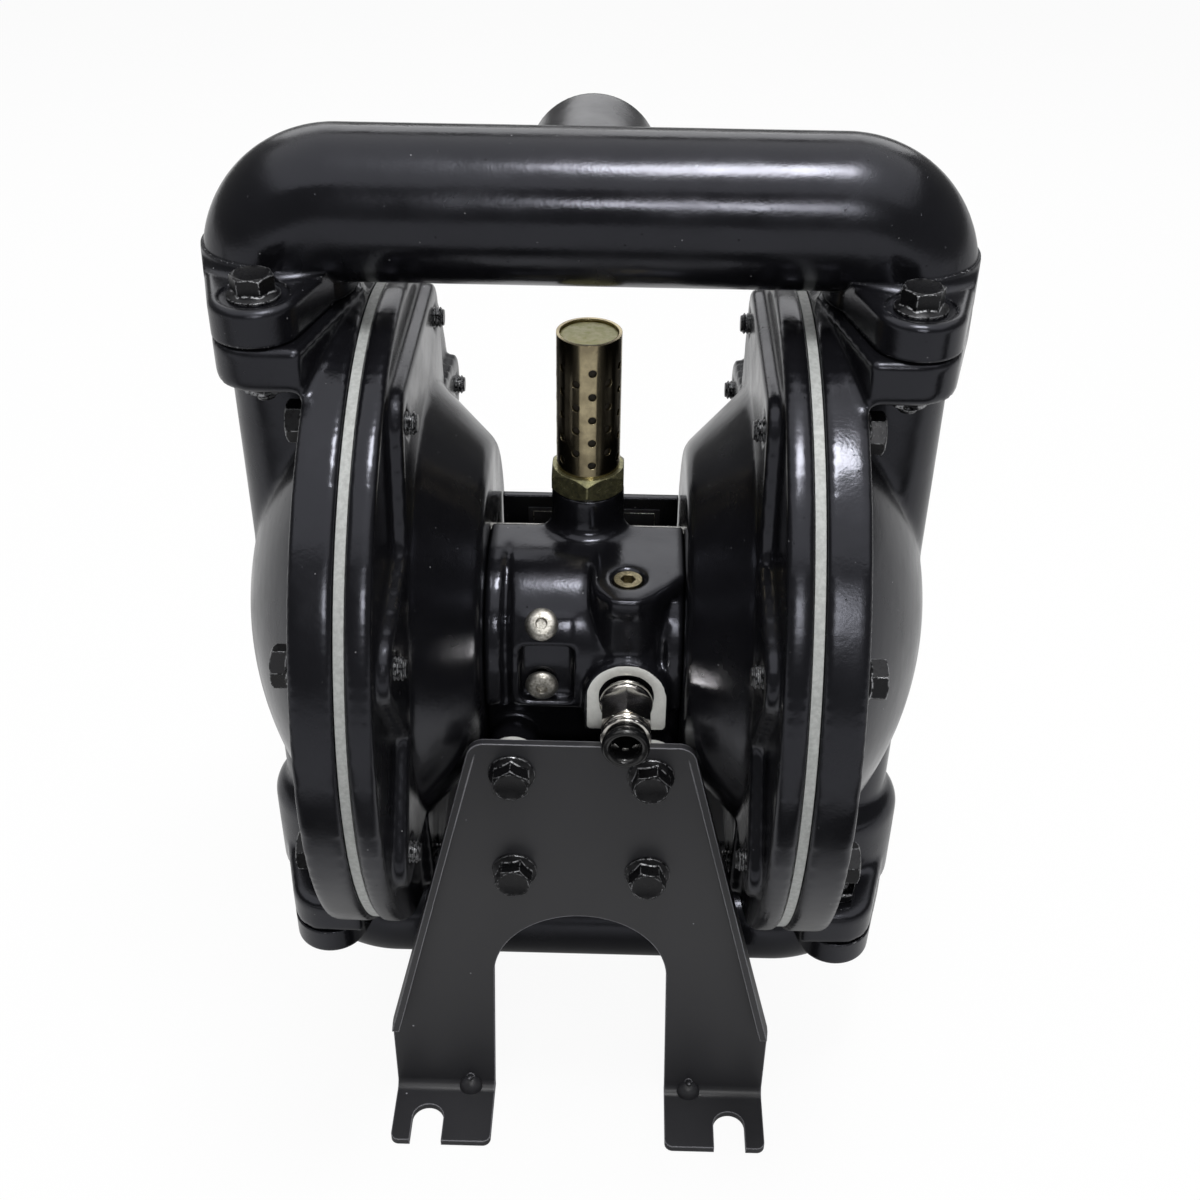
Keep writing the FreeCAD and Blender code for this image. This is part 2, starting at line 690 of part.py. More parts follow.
def body_core():
    """Body between the air caps: end flanges, a groove beside each, and the screw recess."""
    core = body_slice(FRONT_Y, -HUB_X, HUB_X)
    core = soften(core, FRONT_ROUND, lambda point, edge: on_front_edge(point))
    groove = body_slice(FRONT_Y + 1, GROOVE_X, BODY_FLANGE_X)
    groove = groove.cut(body_slice(FRONT_Y - GROOVE_DEPTH, GROOVE_X - 1, BODY_FLANGE_X + 1))
    above = block(GROOVE_X, BODY_FLANGE_X, -FRONT_Y - 2, BACK_EDGE_Y, FRONT_BOTTOM_Z, TOP_Z)
    groove = groove.common(above)
    recess = body_slice(FRONT_Y + 1, POCKET_LEFT_X, POCKET_RIGHT_X)
    recess = recess.cut(body_slice(FRONT_Y - POCKET_DEPTH, POCKET_LEFT_X - 1, POCKET_RIGHT_X + 1))
    mouth = block(POCKET_LEFT_X, POCKET_RIGHT_X, -FRONT_Y - 2, BACK_EDGE_Y, POCKET_BOTTOM_Z, POCKET_TOP_Z)
    mouth = soften(mouth, POCKET_ROUND, lambda point, edge: along_y(edge))
    pad = body_slice(FRONT_Y + SCREW_PAD_T, POCKET_LEFT_X + 1, POCKET_RIGHT_X - 1)
    band = block(POCKET_LEFT_X, POCKET_RIGHT_X, -FRONT_Y - 2, BACK_EDGE_Y, POCKET_TOP_Z, SCREW_PAD_TOP_Z)
    core = core.cut(groove.multiFuse([mirrored(groove, X_AXIS), recess.common(mouth)]))
    return join([core, pad.common(band)])


def on_front_edge(point):
    return abs(point.y + FRONT_Y) < 0.1 and abs(point.z - FRONT_BOTTOM_Z) < 0.1


def along_y(edge):
    box = edge.BoundBox
    return box.YLength > 1 and box.XLength < 0.1 and box.ZLength < 0.1


def along_z(edge):
    box = edge.BoundBox
    return box.ZLength > 1 and box.XLength < 0.1 and box.YLength < 0.1


def inlet_column():
    """Half-round column from the plug pad down to the air inlet face."""
    low = FRONT_BOTTOM_Z
    column = rod_z(INLET_COLUMN_R, low, TOP_Z - 1, INLET_X, -COLUMN_Y)
    left = INLET_X - INLET_COLUMN_R
    right = INLET_X + INLET_COLUMN_R
    fill = block(left, right, -COLUMN_Y, -SPOOL_R, low, TOP_Z - 1)
    pad = rod_y(INLET_PAD_R, -INLET_FACE_Y, -COLUMN_Y, INLET_X, INLET_Z)
    left = INLET_X - INLET_PAD_R
    right = INLET_X + INLET_PAD_R
    skirt = block(left, right, -INLET_FACE_Y, -COLUMN_Y, INLET_PAD_BOTTOM_Z, INLET_Z)
    return [column, fill, pad, skirt]


def plug_pad():
    """Flat pad around the plug, level with the top and rounded towards the front."""
    front = -PLUG_PAD_Y
    turn = PLUG_PAD_ROUND
    end = front + PLUG_PAD_END
    plan = outline([
        vec(PLUG_PAD_X, NOSE_R - FRONT_Y, 0),
        vec(PLUG_PAD_X, front + turn, 0),
        vec(PLUG_PAD_X + turn / 2, front, 0),
        vec(INLET_X + PLUG_PAD_CORNER, front, 0),
        vec(INLET_X + PLUG_PAD_REACH, front + turn - 2, 0),
        vec(HUB_X, end, 0),
        vec(HUB_X, NOSE_R - FRONT_Y, 0),
    ])
    plan.translate(vec(0, 0, TOP_Z - PLUG_PAD_T))
    pad = plan.extrude(vec(0, 0, PLUG_PAD_T))
    corners = [edge for edge in pad.Edges if along_z(edge) and edge.CenterOfMass.y < end - 1]
    pad = pad.makeFillet(PLUG_PAD_CORNER, corners)
    return soften(pad, PLUG_PAD_EDGE, lambda point, edge: point.z > TOP_Z - 0.1 and point.y < end)


def bracket_bolt_places():
    heights = (BRACKET_BOLT_HIGH_Z, BRACKET_BOLT_LOW_Z)
    return [(x, z) for x in (BRACKET_BOLT_X, -BRACKET_BOLT_X) for z in heights]


def bracket_bosses():
    return [rod_y(BRACKET_BOSS_R, -BRACKET_Y, BRACKET_Y, x, z) for x, z in bracket_bolt_places()]


def muffler_boss():
    """Round neck under the muffler that flares into the flat top."""
    neck = rod_z(MUFFLER_BOSS_R, VALLEY_Z, MUFFLER_SEAT_Z)
    foot = MUFFLER_BOSS_R + MUFFLER_BOSS_FLARE
    curve = MUFFLER_BOSS_FLARE * (1 - math.sqrt(0.5))
    flare = outline([
        vec(0, 0, TOP_Z - 1),
        vec(foot, 0, TOP_Z - 1),
        vec(foot, 0, TOP_Z),
        (vec(MUFFLER_BOSS_R + curve, 0, TOP_Z + curve),),
        vec(MUFFLER_BOSS_R, 0, TOP_Z + MUFFLER_BOSS_FLARE),
        vec(0, 0, TOP_Z + MUFFLER_BOSS_FLARE),
    ]).revolve(CENTRE, Z_AXIS, 360)
    return [neck, flare.common(block(-HUB_X, HUB_X, -FRONT_Y, BACK_EDGE_Y, 0, MUFFLER_SEAT_Z))]


def centre_body():
    """Casting between the air caps, with the air valve, muffler seat and air inlet."""
    walls = join([body_core(), plug_pad()] + inlet_column() + muffler_boss() + bracket_bosses())
    return walls.cut(body_holes())


def body_holes():
    face = -INLET_FACE_Y
    holes = [
        rod_x(BUSH_R, -HUB_X - 1, HUB_X + 1),
        rod_x(SLEEVE_R, -HUB_X - 1, HUB_X + 1, SPOOL_Y, SPOOL_Z),
        rod_x(PILOT_R + RUNNING_GAP, -HUB_X - 1, HUB_X + 1, PILOT_Y, PILOT_Z),
        rod_z(PORT_TAIL_R, MUFFLER_SEAT_Z - MUFFLER_TAIL - DRILL_EXTRA, MUFFLER_SEAT_Z + 1),
        rod_y(FITTING_TAIL_R, face - 1, SPOOL_Y, INLET_X, INLET_Z),
        rod_y(FITTING_TAIL_R + INLET_CHAMFER, face - 1, face + INLET_CHAMFER, INLET_X, INLET_Z),
        rod_z(PLUG_RECESS_R, TOP_Z - PLUG_RECESS_DEPTH, TOP_Z + 1, PLUG_X, PLUG_Y),
        rod_z(PLUG_R, TOP_Z - PLUG_SINK - PLUG_L - 1, TOP_Z, PLUG_X, PLUG_Y),
    ]
    for x, z in bracket_bolt_places():
        for y_side in (1, -1):
            ends = sorted((y_side * (BRACKET_Y + 1), y_side * (BRACKET_Y - BRACKET_TAP_L)))
            holes.append(rod_y(BOLT_R, ends[0], ends[1], x, z))
    for base, direction in button_places():
        holes.append(Part.makeCylinder(BUTTON_SHANK_R, BUTTON_SHANK_L + DRILL_EXTRA, base, direction * -1))
    return holes[0].multiFuse(holes[1:])


def button_places():
    """Where the two button-head screws sit, and which way their heads point."""
    low = vec(BUTTON_X, POCKET_DEPTH - FRONT_Y, BUTTON_LOW_Z)
    slant = math.radians(BUTTON_SLANT)
    out = vec(0, -math.cos(slant), math.sin(slant))
    centre = vec(BUTTON_X, NOSE_R - FRONT_Y, TOP_Z - NOSE_R)
    return [(low, Y_AXIS * -1), (centre + out * (NOSE_R + SCREW_PAD_T), out)]


def button_screws():
    screws = []
    for base, direction in button_places():
        head = Part.makeCylinder(BUTTON_R, BUTTON_T, base, direction)
        rim = [edge for edge in head.Edges if (edge.CenterOfMass - base).dot(direction) > BUTTON_T - 0.1]
        head = head.makeFillet(BUTTON_ROUND, rim)
        floor = base + direction * (BUTTON_T - BUTTON_SOCKET_DEPTH)
        socket = hexagon(BUTTON_SOCKET, BUTTON_T, floor, direction)
        shank = Part.makeCylinder(BUTTON_SHANK_R, BUTTON_SHANK_L, base, direction * -1)
        screws.append(join([head, shank]).cut(socket))
    return Part.makeCompound(screws)


def passage_plug():
    top = TOP_Z - PLUG_SINK
    body = rod_z(PLUG_R, top - PLUG_L, top, PLUG_X, PLUG_Y)
    socket = hexagon(PLUG_SOCKET, PLUG_SOCKET_DEPTH + 1, vec(PLUG_X, PLUG_Y, top - PLUG_SOCKET_DEPTH), Z_AXIS)
    return body.cut(socket)


def rear_cover():
    """Upright plate over the rear of the body, higher than the valley in front of it."""
    back = COVER_Y + COVER_T
    plate = block(-COVER_X, COVER_X, COVER_Y, back, COVER_BOTTOM_Z, COVER_TOP_Z)
    hole_r = COVER_SCREW_R + ASSEMBLY_GAP
    holes = [rod_y(hole_r, COVER_Y - 1, back + 1, x, z) for x, z in cover_screw_places()]
    for x, z in bracket_bolt_places():
        holes.append(rod_y(COVER_HOLE_R, COVER_Y - 1, back + 1, x, z))
    return plate.cut(holes[0].multiFuse(holes[1:]))


def cover_screw_places():
    return [(x, z) for x in (-COVER_SCREW_X, COVER_SCREW_X) for z in (COVER_SCREW_HIGH_Z, COVER_SCREW_LOW_Z)]


def cover_screws():
    screws = []
    back = COVER_Y + COVER_T
    for x, z in cover_screw_places():
        head = rod_y(COVER_SCREW_HEAD_R, back, back + COVER_SCREW_HEAD_T, x, z)
        screws.append(join([head, rod_y(COVER_SCREW_R, COVER_Y, back, x, z)]))
    return Part.makeCompound(screws)


def bare_plate():
    """Thin plate with no lettering, on the front of the rear cover."""
    left = PLATE_BARE_SHIFT - PLATE_BARE_X
    right = PLATE_BARE_SHIFT + PLATE_BARE_X
    top = PLATE_BARE_TOP_Z
    return block(left, right, COVER_Y - PLATE_BARE_T, COVER_Y, top - PLATE_BARE_H, top)


def valve_sleeve():
    end = HUB_X - END_PLUG_L
    tube = rod_x(SLEEVE_R, -end, end, SPOOL_Y, SPOOL_Z)
    tube = tube.cut(rod_x(SPOOL_R + RUNNING_GAP, -HUB_X, HUB_X, SPOOL_Y, SPOOL_Z))
    port = rod_z(SLEEVE_PORT_R, SPOOL_Z, SPOOL_Z + SLEEVE_R + 1, 0, SPOOL_Y)
    return tube.cut(port)


def valve_spool():
    spool = rod_x(SPOOL_R, -SPOOL_HALF, SPOOL_HALF, SPOOL_Y, SPOOL_Z)
    grooves = []
    for x in (-SPOOL_HALF / 2, SPOOL_HALF / 2):
        ring = rod_x(SPOOL_R + 1, x - SPOOL_TRAVEL, x + SPOOL_TRAVEL, SPOOL_Y, SPOOL_Z)
        grooves.append(ring.cut(rod_x(SPOOL_R - SPOOL_GROOVE, x - HUB_X, x + HUB_X, SPOOL_Y, SPOOL_Z)))
    return spool.cut(grooves[0].fuse(grooves[1]))


def valve_end_plug():
    return rod_x(SLEEVE_R, HUB_X - END_PLUG_L, HUB_X, SPOOL_Y, SPOOL_Z)


def pilot_rod():
    return rod_x(PILOT_R, -PILOT_HALF, PILOT_HALF, PILOT_Y, PILOT_Z)


def elbow(radius, leg_radius, low, leg_x):
    """Quarter bend from the cross tube down to an upright leg, right side."""
    start_x = ELBOW_X - BEND_RADIUS
    start_z = MANIFOLD_HEIGHT - BEND_RADIUS
    ring = Part.Circle(vec(start_x, 0, MANIFOLD_HEIGHT), X_AXIS, radius).toShape()
    above = block(start_x - 1, start_x + 1, -radius - 1, radius + 1, start_z, MANIFOLD_HEIGHT + radius + 1)
    section = Part.Face(Part.Wire([ring])).common(above).Faces[0]
    bend = section.revolve(vec(start_x, 0, start_z), Y_AXIS, 90)
    return join([bend, rod_z(leg_radius, low, start_z, leg_x)])


def cross_tube(radius):
    return rod_x(radius, BEND_RADIUS - ELBOW_X, ELBOW_X - BEND_RADIUS, 0, MANIFOLD_HEIGHT)


def manifold_walls():
    """Outlet manifold: cross tube, two valve legs, four bolt ears and the port boss."""
    right = join([elbow(TUBE_R, TUBE_R, SPLIT_Z + GASKET_T, ELBOW_X)] + manifold_ears())
    boss = rod_y(PORT_R, 0, PORT_Y, 0, MANIFOLD_HEIGHT)
    boss = soften(boss, PORT_EDGE, lambda point, edge: point.y > PORT_Y - 0.1)
    return join([cross_tube(TUBE_R), boss] + both_sides(right, X_AXIS))


def manifold_ears():
    """Joint flange with two bolt ears, and the flare where the leg meets it."""
    base = SPLIT_Z + GASKET_T
    top = SPLIT_Z + MANIFOLD_EAR_T + EAR_RIM
    flange = ear_slab(False, base, top)
    flange = soften(flange, EAR_ROUND, lambda point, edge: point.z > top - 0.1)
    curve = LEG_FLARE * (1 - math.sqrt(0.5))
    flare = outline([
        vec(0, 0, base),
        vec(TUBE_R + LEG_FLARE, 0, base),
        vec(TUBE_R + LEG_FLARE, 0, top),
        (vec(TUBE_R + curve, 0, top + curve),),
        vec(TUBE_R, 0, top + LEG_FLARE),
        vec(0, 0, top + LEG_FLARE),
    ]).revolve(CENTRE, Z_AXIS, 360)
    flare.translate(vec(ELBOW_X, 0, 0))
    return [flange, flare.common(ear_slab(False, base, top + LEG_FLARE))]


def manifold(leg_bore):
    """Hollow manifold; the bore of each leg is given by the valve that sits there."""
    thread = rod_y(PORT_THREAD_R, PORT_Y - PORT_THREAD_L, PORT_Y + 1, 0, MANIFOLD_HEIGHT)
    port_bore = rod_y(PORT_BORE_R, 0, PORT_Y, 0, MANIFOLD_HEIGHT)
    holes = [cross_tube(TUBE_BORE_R), thread, port_bore] + both_sides(leg_bore, X_AXIS)
    face = SPLIT_Z + MANIFOLD_EAR_T
    for x in (-EAR_X, EAR_X):
        for y in (-EAR_Y, EAR_Y):
            holes.append(rod_z(BOLT_HOLE_R, SPLIT_Z, face + 1, x, y))
            holes.append(rod_z(POCKET_R, face, MANIFOLD_HEIGHT, x, y))
    return manifold_walls().cut(holes[0].multiFuse(holes[1:]))


def outlet_manifold():
    """The ball works inside the manifold's ends, kept in the middle by four ribs."""
    bore = elbow(TUBE_BORE_R, VALVE_BORE_R, SPLIT_Z - 1, VALVE_X)
    ribs = guide_ribs(SPLIT_Z, SPLIT_Z + BALL_SEATED + BALL_LIFT)
    return manifold(bore.cut(ribs[0].multiFuse(ribs[1:])))


def inlet_manifold():
    """The seat lies in the joint face and the passage goes on to the tube."""
    passage = elbow(TUBE_BORE_R, COLUMN_BORE_R, SPLIT_Z - 1, VALVE_X)
    recess = rod_z(SEAT_R + ASSEMBLY_GAP, SPLIT_Z - 1, SPLIT_Z + SEAT_HEIGHT, VALVE_X)
    return below(manifold(passage.fuse(recess)))


def below(shape):
    """The same piece upside down on the inlet side."""
    shape = mirrored(shape, Z_AXIS)
    shape.translate(vec(0, 0, -INLET_DROP))
    return shape


def valve_seat(top):
    ring = rod_z(SEAT_R, top - SEAT_HEIGHT, top, VALVE_X)
    return ring.cut(rod_z(SEAT_BORE_R, top - SEAT_HEIGHT - 1, top + 1, VALVE_X))


def valve_ball(seat_top):
    return Part.makeSphere(BALL_R, vec(VALVE_X, 0, seat_top + BALL_SEATED))


def manifold_gasket():
    ring = rod_z(GASKET_R, SPLIT_Z, SPLIT_Z + GASKET_T, VALVE_X)
    return ring.cut(rod_z(SEAT_R + ASSEMBLY_GAP, SPLIT_Z - 1, SPLIT_Z + 2, VALVE_X))


def flange_bolts():
    length = FLUID_FLANGE_X - STUD_TIP_X
    return Part.makeCompound(at_bolts(lambda: bolt(vec(FLUID_FLANGE_X, 0, BOLT_CIRCLE_R), X_AXIS, length)))


def manifold_bolts():
    top = SPLIT_Z + MANIFOLD_EAR_T
    length = MANIFOLD_EAR_T + CAP_EAR_T + NUT_HEIGHT + BOLT_TAIL
    places = [vec(x * EAR_X, y * EAR_Y, top) for x in (1, -1) for y in (1, -1)]
    return Part.makeCompound([bolt(place, Z_AXIS, length) for place in places])


def manifold_nuts():
    face = SPLIT_Z - CAP_EAR_T
    places = [vec(x * EAR_X, y * EAR_Y, face) for x in (1, -1) for y in (1, -1)]
    return Part.makeCompound([nut(place, Z_AXIS * -1) for place in places])


def muffler_hex():
    """Hex base with the threaded tail that screws into the body."""
    base = hexagon(MUFFLER_HEX, MUFFLER_HEX_T, vec(0, 0, MUFFLER_SEAT_Z), Z_AXIS, HEX_TURN)
    corner = MUFFLER_HEX / math.sqrt(3)
    limit = rod_z(corner - MUFFLER_CORNER, MUFFLER_SEAT_Z, MUFFLER_SEAT_Z + MUFFLER_HEX_T)
    chamfer = corner - MUFFLER_HEX / 2
    limit = limit.makeChamfer(chamfer, [edge for edge in limit.Edges if edge.isClosed()])
    tail = rod_z(PORT_TAIL_R, MUFFLER_SEAT_Z - MUFFLER_TAIL, MUFFLER_SEAT_Z)
    low = MUFFLER_SEAT_Z - MUFFLER_TAIL - 1
    bore = rod_z(PORT_TAIL_R - PORT_TAIL_WALL, low, MUFFLER_SEAT_Z + MUFFLER_HEX_T + 1)
    return join([base.common(limit), tail]).cut(bore)


def muffler_shell():
    """Perforated tube with staggered columns of round holes."""
    low = MUFFLER_SEAT_Z + MUFFLER_HEX_T
    inner = MUFFLER_R - MUFFLER_WALL
    tube = rod_z(MUFFLER_R, low, MUFFLER_TOP_Z).cut(rod_z(inner, low - 1, MUFFLER_TOP_Z + 1))
    drills = []
    for column in range(MUFFLER_COLUMNS):
        odd = column % 2
        start = low + MUFFLER_FIRST_HOLE + odd * MUFFLER_HOLE_PITCH / 2
        angle = 360.0 * column / MUFFLER_COLUMNS - 90 + MUFFLER_TURN
        for row in range(MUFFLER_ROWS - odd):
            drill = rod_x(MUFFLER_HOLE_R, inner - 2, MUFFLER_R + 1, 0, start + row * MUFFLER_HOLE_PITCH)
            drill.rotate(CENTRE, Z_AXIS, angle)
            drills.append(drill)
    return tube.cut(Part.makeCompound(drills))


def muffler_disc():
    """Shallow domed disc just inside the upper rim."""
    radius = MUFFLER_R - MUFFLER_WALL
    top = MUFFLER_TOP_Z - MUFFLER_DISC_DEPTH
    disc = rod_z(radius, top - MUFFLER_DISC_T, top)
    return soften(disc, MUFFLER_DISC_EDGE, lambda point, edge: point.z > top - 0.1)


def muffler_element():
    low = MUFFLER_SEAT_Z + MUFFLER_HEX_T
    top = MUFFLER_TOP_Z - MUFFLER_DISC_DEPTH - MUFFLER_DISC_T
    radius = MUFFLER_R - MUFFLER_WALL - ASSEMBLY_GAP
    return rod_z(radius, low, top).cut(rod_z(radius - ELEMENT_WALL, low - 1, top - ELEMENT_CROWN))


def air_fitting():
    """Hex body, ringed collar and threaded tail."""
    face = -INLET_FACE_Y
    mouth = face - FITTING_L
    hex_end = face - FITTING_HEX_L
    hexa = hexagon(FITTING_HEX, FITTING_HEX_L, vec(INLET_X, face, INLET_Z), Y_AXIS * -1, 0.0)
    collar = rod_y(FITTING_R, mouth, hex_end + 1, INLET_X, INLET_Z)
    ring = rod_y(FITTING_RING_R, hex_end - FITTING_RING_L, hex_end, INLET_X, INLET_Z)
    tail = rod_y(FITTING_TAIL_R, face, face + FITTING_TAIL_L, INLET_X, INLET_Z)
    bore = rod_y(TUBE_HOLE_R, mouth + FITTING_MOUTH_L, face + FITTING_TAIL_L + 1, INLET_X, INLET_Z)
    socket = rod_y(COLLET_R, mouth - 1, mouth + FITTING_MOUTH_L, INLET_X, INLET_Z)
    return join([hexa, collar, ring, tail]).cut(bore.fuse(socket))


def release_collet():
    """Ring that is pushed in to let go of the tube; its sleeve slides in the fitting."""
    mouth = -INLET_FACE_Y - FITTING_L
    front = mouth - COLLET_OUT
    outer = rod_y(COLLET_FLANGE_R, front, mouth - COLLET_TRAVEL - ASSEMBLY_GAP, INLET_X, INLET_Z)
    outer = soften(outer, COLLET_EDGE, lambda point, edge: point.y < front + 0.1)
    sleeve = rod_y(COLLET_R - RUNNING_GAP, front + 1, mouth + COLLET_IN, INLET_X, INLET_Z)
    hole = rod_y(TUBE_HOLE_R, front - 1, mouth + COLLET_IN + 1, INLET_X, INLET_Z)
    return join([outer, sleeve]).cut(hole)


def bracket_outline():
    """Upright plate in its own plane: tapered sides, arch and two legs."""
    low = -AXIS_HEIGHT + BRACKET_T
    turn = BRACKET_TOP_ROUND
    spring_z = ARCH_TOP_Z - ARCH_X
    cut = turn * (1 - math.sqrt(0.5))
    return outline([
        vec(-BRACKET_TOP_X + turn, 0, BRACKET_TOP_Z),
        vec(BRACKET_TOP_X - turn, 0, BRACKET_TOP_Z),
        (vec(BRACKET_TOP_X - cut, 0, BRACKET_TOP_Z - cut),),
        vec(BRACKET_TOP_X + 1, 0, BRACKET_TOP_Z - turn),
        vec(BRACKET_TIP_X, 0, BRACKET_TIP_Z),
        vec(FOOT_OUTER_X, 0, low),
        vec(FOOT_INNER_X, 0, low),
        vec(ARCH_X, 0, spring_z),
        (vec(0, 0, ARCH_TOP_Z),),
        vec(-ARCH_X, 0, spring_z),
        vec(-FOOT_INNER_X, 0, low),
        vec(-FOOT_OUTER_X, 0, low),
        vec(-BRACKET_TIP_X, 0, BRACKET_TIP_Z),
        vec(-BRACKET_TOP_X - 1, 0, BRACKET_TOP_Z - turn),
        (vec(-BRACKET_TOP_X + cut, 0, BRACKET_TOP_Z - cut),),
    ])


def bracket_lip(x_side):
    """Edge of the plate folded forward, deepest at the wide corner."""
    front = -BRACKET_Y - BRACKET_T
    top_x = BRACKET_TOP_X + 1
    top_z = BRACKET_TOP_Z - BRACKET_TOP_ROUND
    strip = outline([
        vec(top_x, 0, top_z),
        vec(BRACKET_TIP_X, 0, BRACKET_TIP_Z),
        vec(BRACKET_TIP_X - BRACKET_T, 0, BRACKET_TIP_Z),
        vec(top_x - BRACKET_T, 0, top_z),
    ])
    strip.translate(vec(0, -BRACKET_Y, 0))
    fold = strip.extrude(vec(0, -BRACKET_T - LIP_DEPTH, 0))
    profile = outline([
        vec(0, -BRACKET_Y, top_z),
        vec(0, front, top_z),
        vec(0, front - LIP_DEPTH, BRACKET_TIP_Z + LIP_RISE),
        vec(0, front - LIP_DEPTH, BRACKET_TIP_Z + LIP_CORNER),
        vec(0, front, BRACKET_TIP_Z),
        vec(0, -BRACKET_Y, BRACKET_TIP_Z),
    ])
    lip = fold.common(profile.extrude(vec(BRACKET_TIP_X + 1, 0, 0)))
    return lip if x_side > 0 else mirrored(lip, X_AXIS)


def bracket_foot(x_side):
    """Foot bent forward, with rounded corners and an open slot."""
    low = -AXIS_HEIGHT
    top = low + BRACKET_T
    foot = block(FOOT_INNER_X, FOOT_OUTER_X, -FOOT_Y, -BRACKET_Y, low, top)
    foot = soften(foot, FOOT_ROUND, lambda point, edge: point.y < 0.1 - FOOT_Y and edge.BoundBox.ZLength > 1)
    slot = rod_z(SLOT_R, low - 1, top + 1, SLOT_X, -SLOT_END_Y - SLOT_R)
    mouth = block(SLOT_X - SLOT_R, SLOT_X + SLOT_R, -FOOT_Y - 1, -SLOT_END_Y - SLOT_R, low - 1, top + 1)
    front = -BRACKET_Y - BRACKET_T
    back = BEND_R * (1 - math.sqrt(0.5))
    bend = outline([
        vec(FOOT_INNER_X, front, top),
        vec(FOOT_INNER_X, front - BEND_R, top),
        (vec(FOOT_INNER_X, front - back, top + back),),
        vec(FOOT_INNER_X, front, top + BEND_R),
    ])
    foot = join([foot.cut(slot.fuse(mouth)), bend.extrude(vec(FOOT_OUTER_X - FOOT_INNER_X, 0, 0))])
    return foot if x_side > 0 else mirrored(foot, X_AXIS)


def bend_gusset(x_side):
    """Small pointed rib pressed into the bend above the foot."""
    rib = Part.makeCone(GUSSET_W / 2, GUSSET_TIP_R, 2 * GUSSET_R)
    rib.rotate(CENTRE, X_AXIS, 45)
    half = GUSSET_R * math.sqrt(0.5)
    base = vec(x_side * GUSSET_X, -BRACKET_Y - BRACKET_T, -AXIS_HEIGHT + BRACKET_T)
    rib.translate(base + vec(0, half - GUSSET_SINK, GUSSET_R - half - GUSSET_SINK))
    return rib


def bracket():
    """Front bracket of bent sheet."""
    plate = bracket_outline()
    plate.translate(vec(0, -BRACKET_Y, 0))
    sheet = [plate.extrude(vec(0, -BRACKET_T, 0))]
    for x_side in (1, -1):
        sheet += [bracket_foot(x_side), bracket_lip(x_side), bend_gusset(x_side)]
    start = -BRACKET_Y - BRACKET_T - 1
    holes = [rod_y(BOLT_HOLE_R, start, -BRACKET_Y + 1, x, z) for x, z in bracket_bolt_places()]
    return join(sheet).cut(holes[0].multiFuse(holes[1:]))


def bracket_bolts():
    face = -BRACKET_Y - BRACKET_T
    places = [vec(x, face, z) for x, z in bracket_bolt_places()]
    return Part.makeCompound([bolt(place, Y_AXIS * -1, BRACKET_BOLT_L) for place in places])


def save_valves():
    """Seat, ball and gasket of each check valve; the inlet ones work below the caps."""
    inlet_seat_top = -SPLIT_Z - INLET_DROP
    save_pair("outlet_seat", valve_seat(SPLIT_Z))
    save_pair("inlet_seat", valve_seat(inlet_seat_top))
    save_pair("outlet_ball", valve_ball(SPLIT_Z))
    save_pair("inlet_ball", valve_ball(inlet_seat_top))
    gasket = manifold_gasket()
    save_pair("outlet_gasket", gasket)
    save_pair("inlet_gasket", below(gasket))


def save_all():
    save("centre_body", centre_body())
    save_pair("air_cap", air_cap())
    save_pair("fluid_cap", fluid_cap())
    save("outlet_manifold", outlet_manifold())
    save("inlet_manifold", inlet_manifold())
    save_pair("diaphragm", diaphragm())
    save("shaft", shaft())
    save_pair("inner_plate", inner_plate())
    save_pair("outer_plate", outer_plate())
    save_pair("bush", bush())
    save_pair("shaft_seal", shaft_seal())
    save_valves()
    save("valve_sleeve", valve_sleeve())
    save("valve_spool", valve_spool())
    save_pair("valve_end_plug", valve_end_plug())
    save("pilot_rod", pilot_rod())
    save("rear_cover", rear_cover())
    save("cover_screws", cover_screws())
    save("bare_plate", bare_plate())
    save("button_screws", button_screws())
    save("passage_plug", passage_plug())
    save("muffler_hex", muffler_hex())
    save("muffler_shell", muffler_shell())
    save("muffler_disc", muffler_disc())
    save("muffler_element", muffler_element())
    save("air_fitting", air_fitting())
    save("release_collet", release_collet())
    front_bracket = bracket()
    save("front_bracket", front_bracket)
    save("rear_bracket", mirrored(front_bracket, Y_AXIS))
    front_bolts = bracket_bolts()
    save("front_bracket_bolts", front_bolts)
    save("rear_bracket_bolts", mirrored(front_bolts, Y_AXIS))
    save_pair("flange_bolts", flange_bolts())
    bolts = manifold_bolts()
    nuts = manifold_nuts()
    save("outlet_bolts", bolts)
    save("outlet_nuts", nuts)
    save("inlet_bolts", below(bolts))
    save("inlet_nuts", below(nuts))


save_all()
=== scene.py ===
import math

import bmesh
import bpy
from mathutils import Matrix, Vector


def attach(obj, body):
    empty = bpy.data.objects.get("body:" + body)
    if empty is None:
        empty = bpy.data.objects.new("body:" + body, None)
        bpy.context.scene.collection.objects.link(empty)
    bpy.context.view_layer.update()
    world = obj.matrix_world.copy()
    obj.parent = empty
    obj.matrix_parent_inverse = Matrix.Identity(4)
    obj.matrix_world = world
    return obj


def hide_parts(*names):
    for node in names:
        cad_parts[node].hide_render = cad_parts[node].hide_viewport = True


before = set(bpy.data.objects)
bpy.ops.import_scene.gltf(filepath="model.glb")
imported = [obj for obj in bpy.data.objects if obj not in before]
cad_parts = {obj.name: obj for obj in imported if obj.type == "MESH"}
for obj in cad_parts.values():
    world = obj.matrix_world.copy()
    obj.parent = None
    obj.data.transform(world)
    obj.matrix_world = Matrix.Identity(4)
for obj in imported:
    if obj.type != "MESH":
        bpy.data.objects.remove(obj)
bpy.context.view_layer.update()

MM = 0.001

# Height of the shaft over the floor, in millimetres. Other places are given about the point where the shaft
# crosses the middle plane.
AXIS_HEIGHT = 223.5

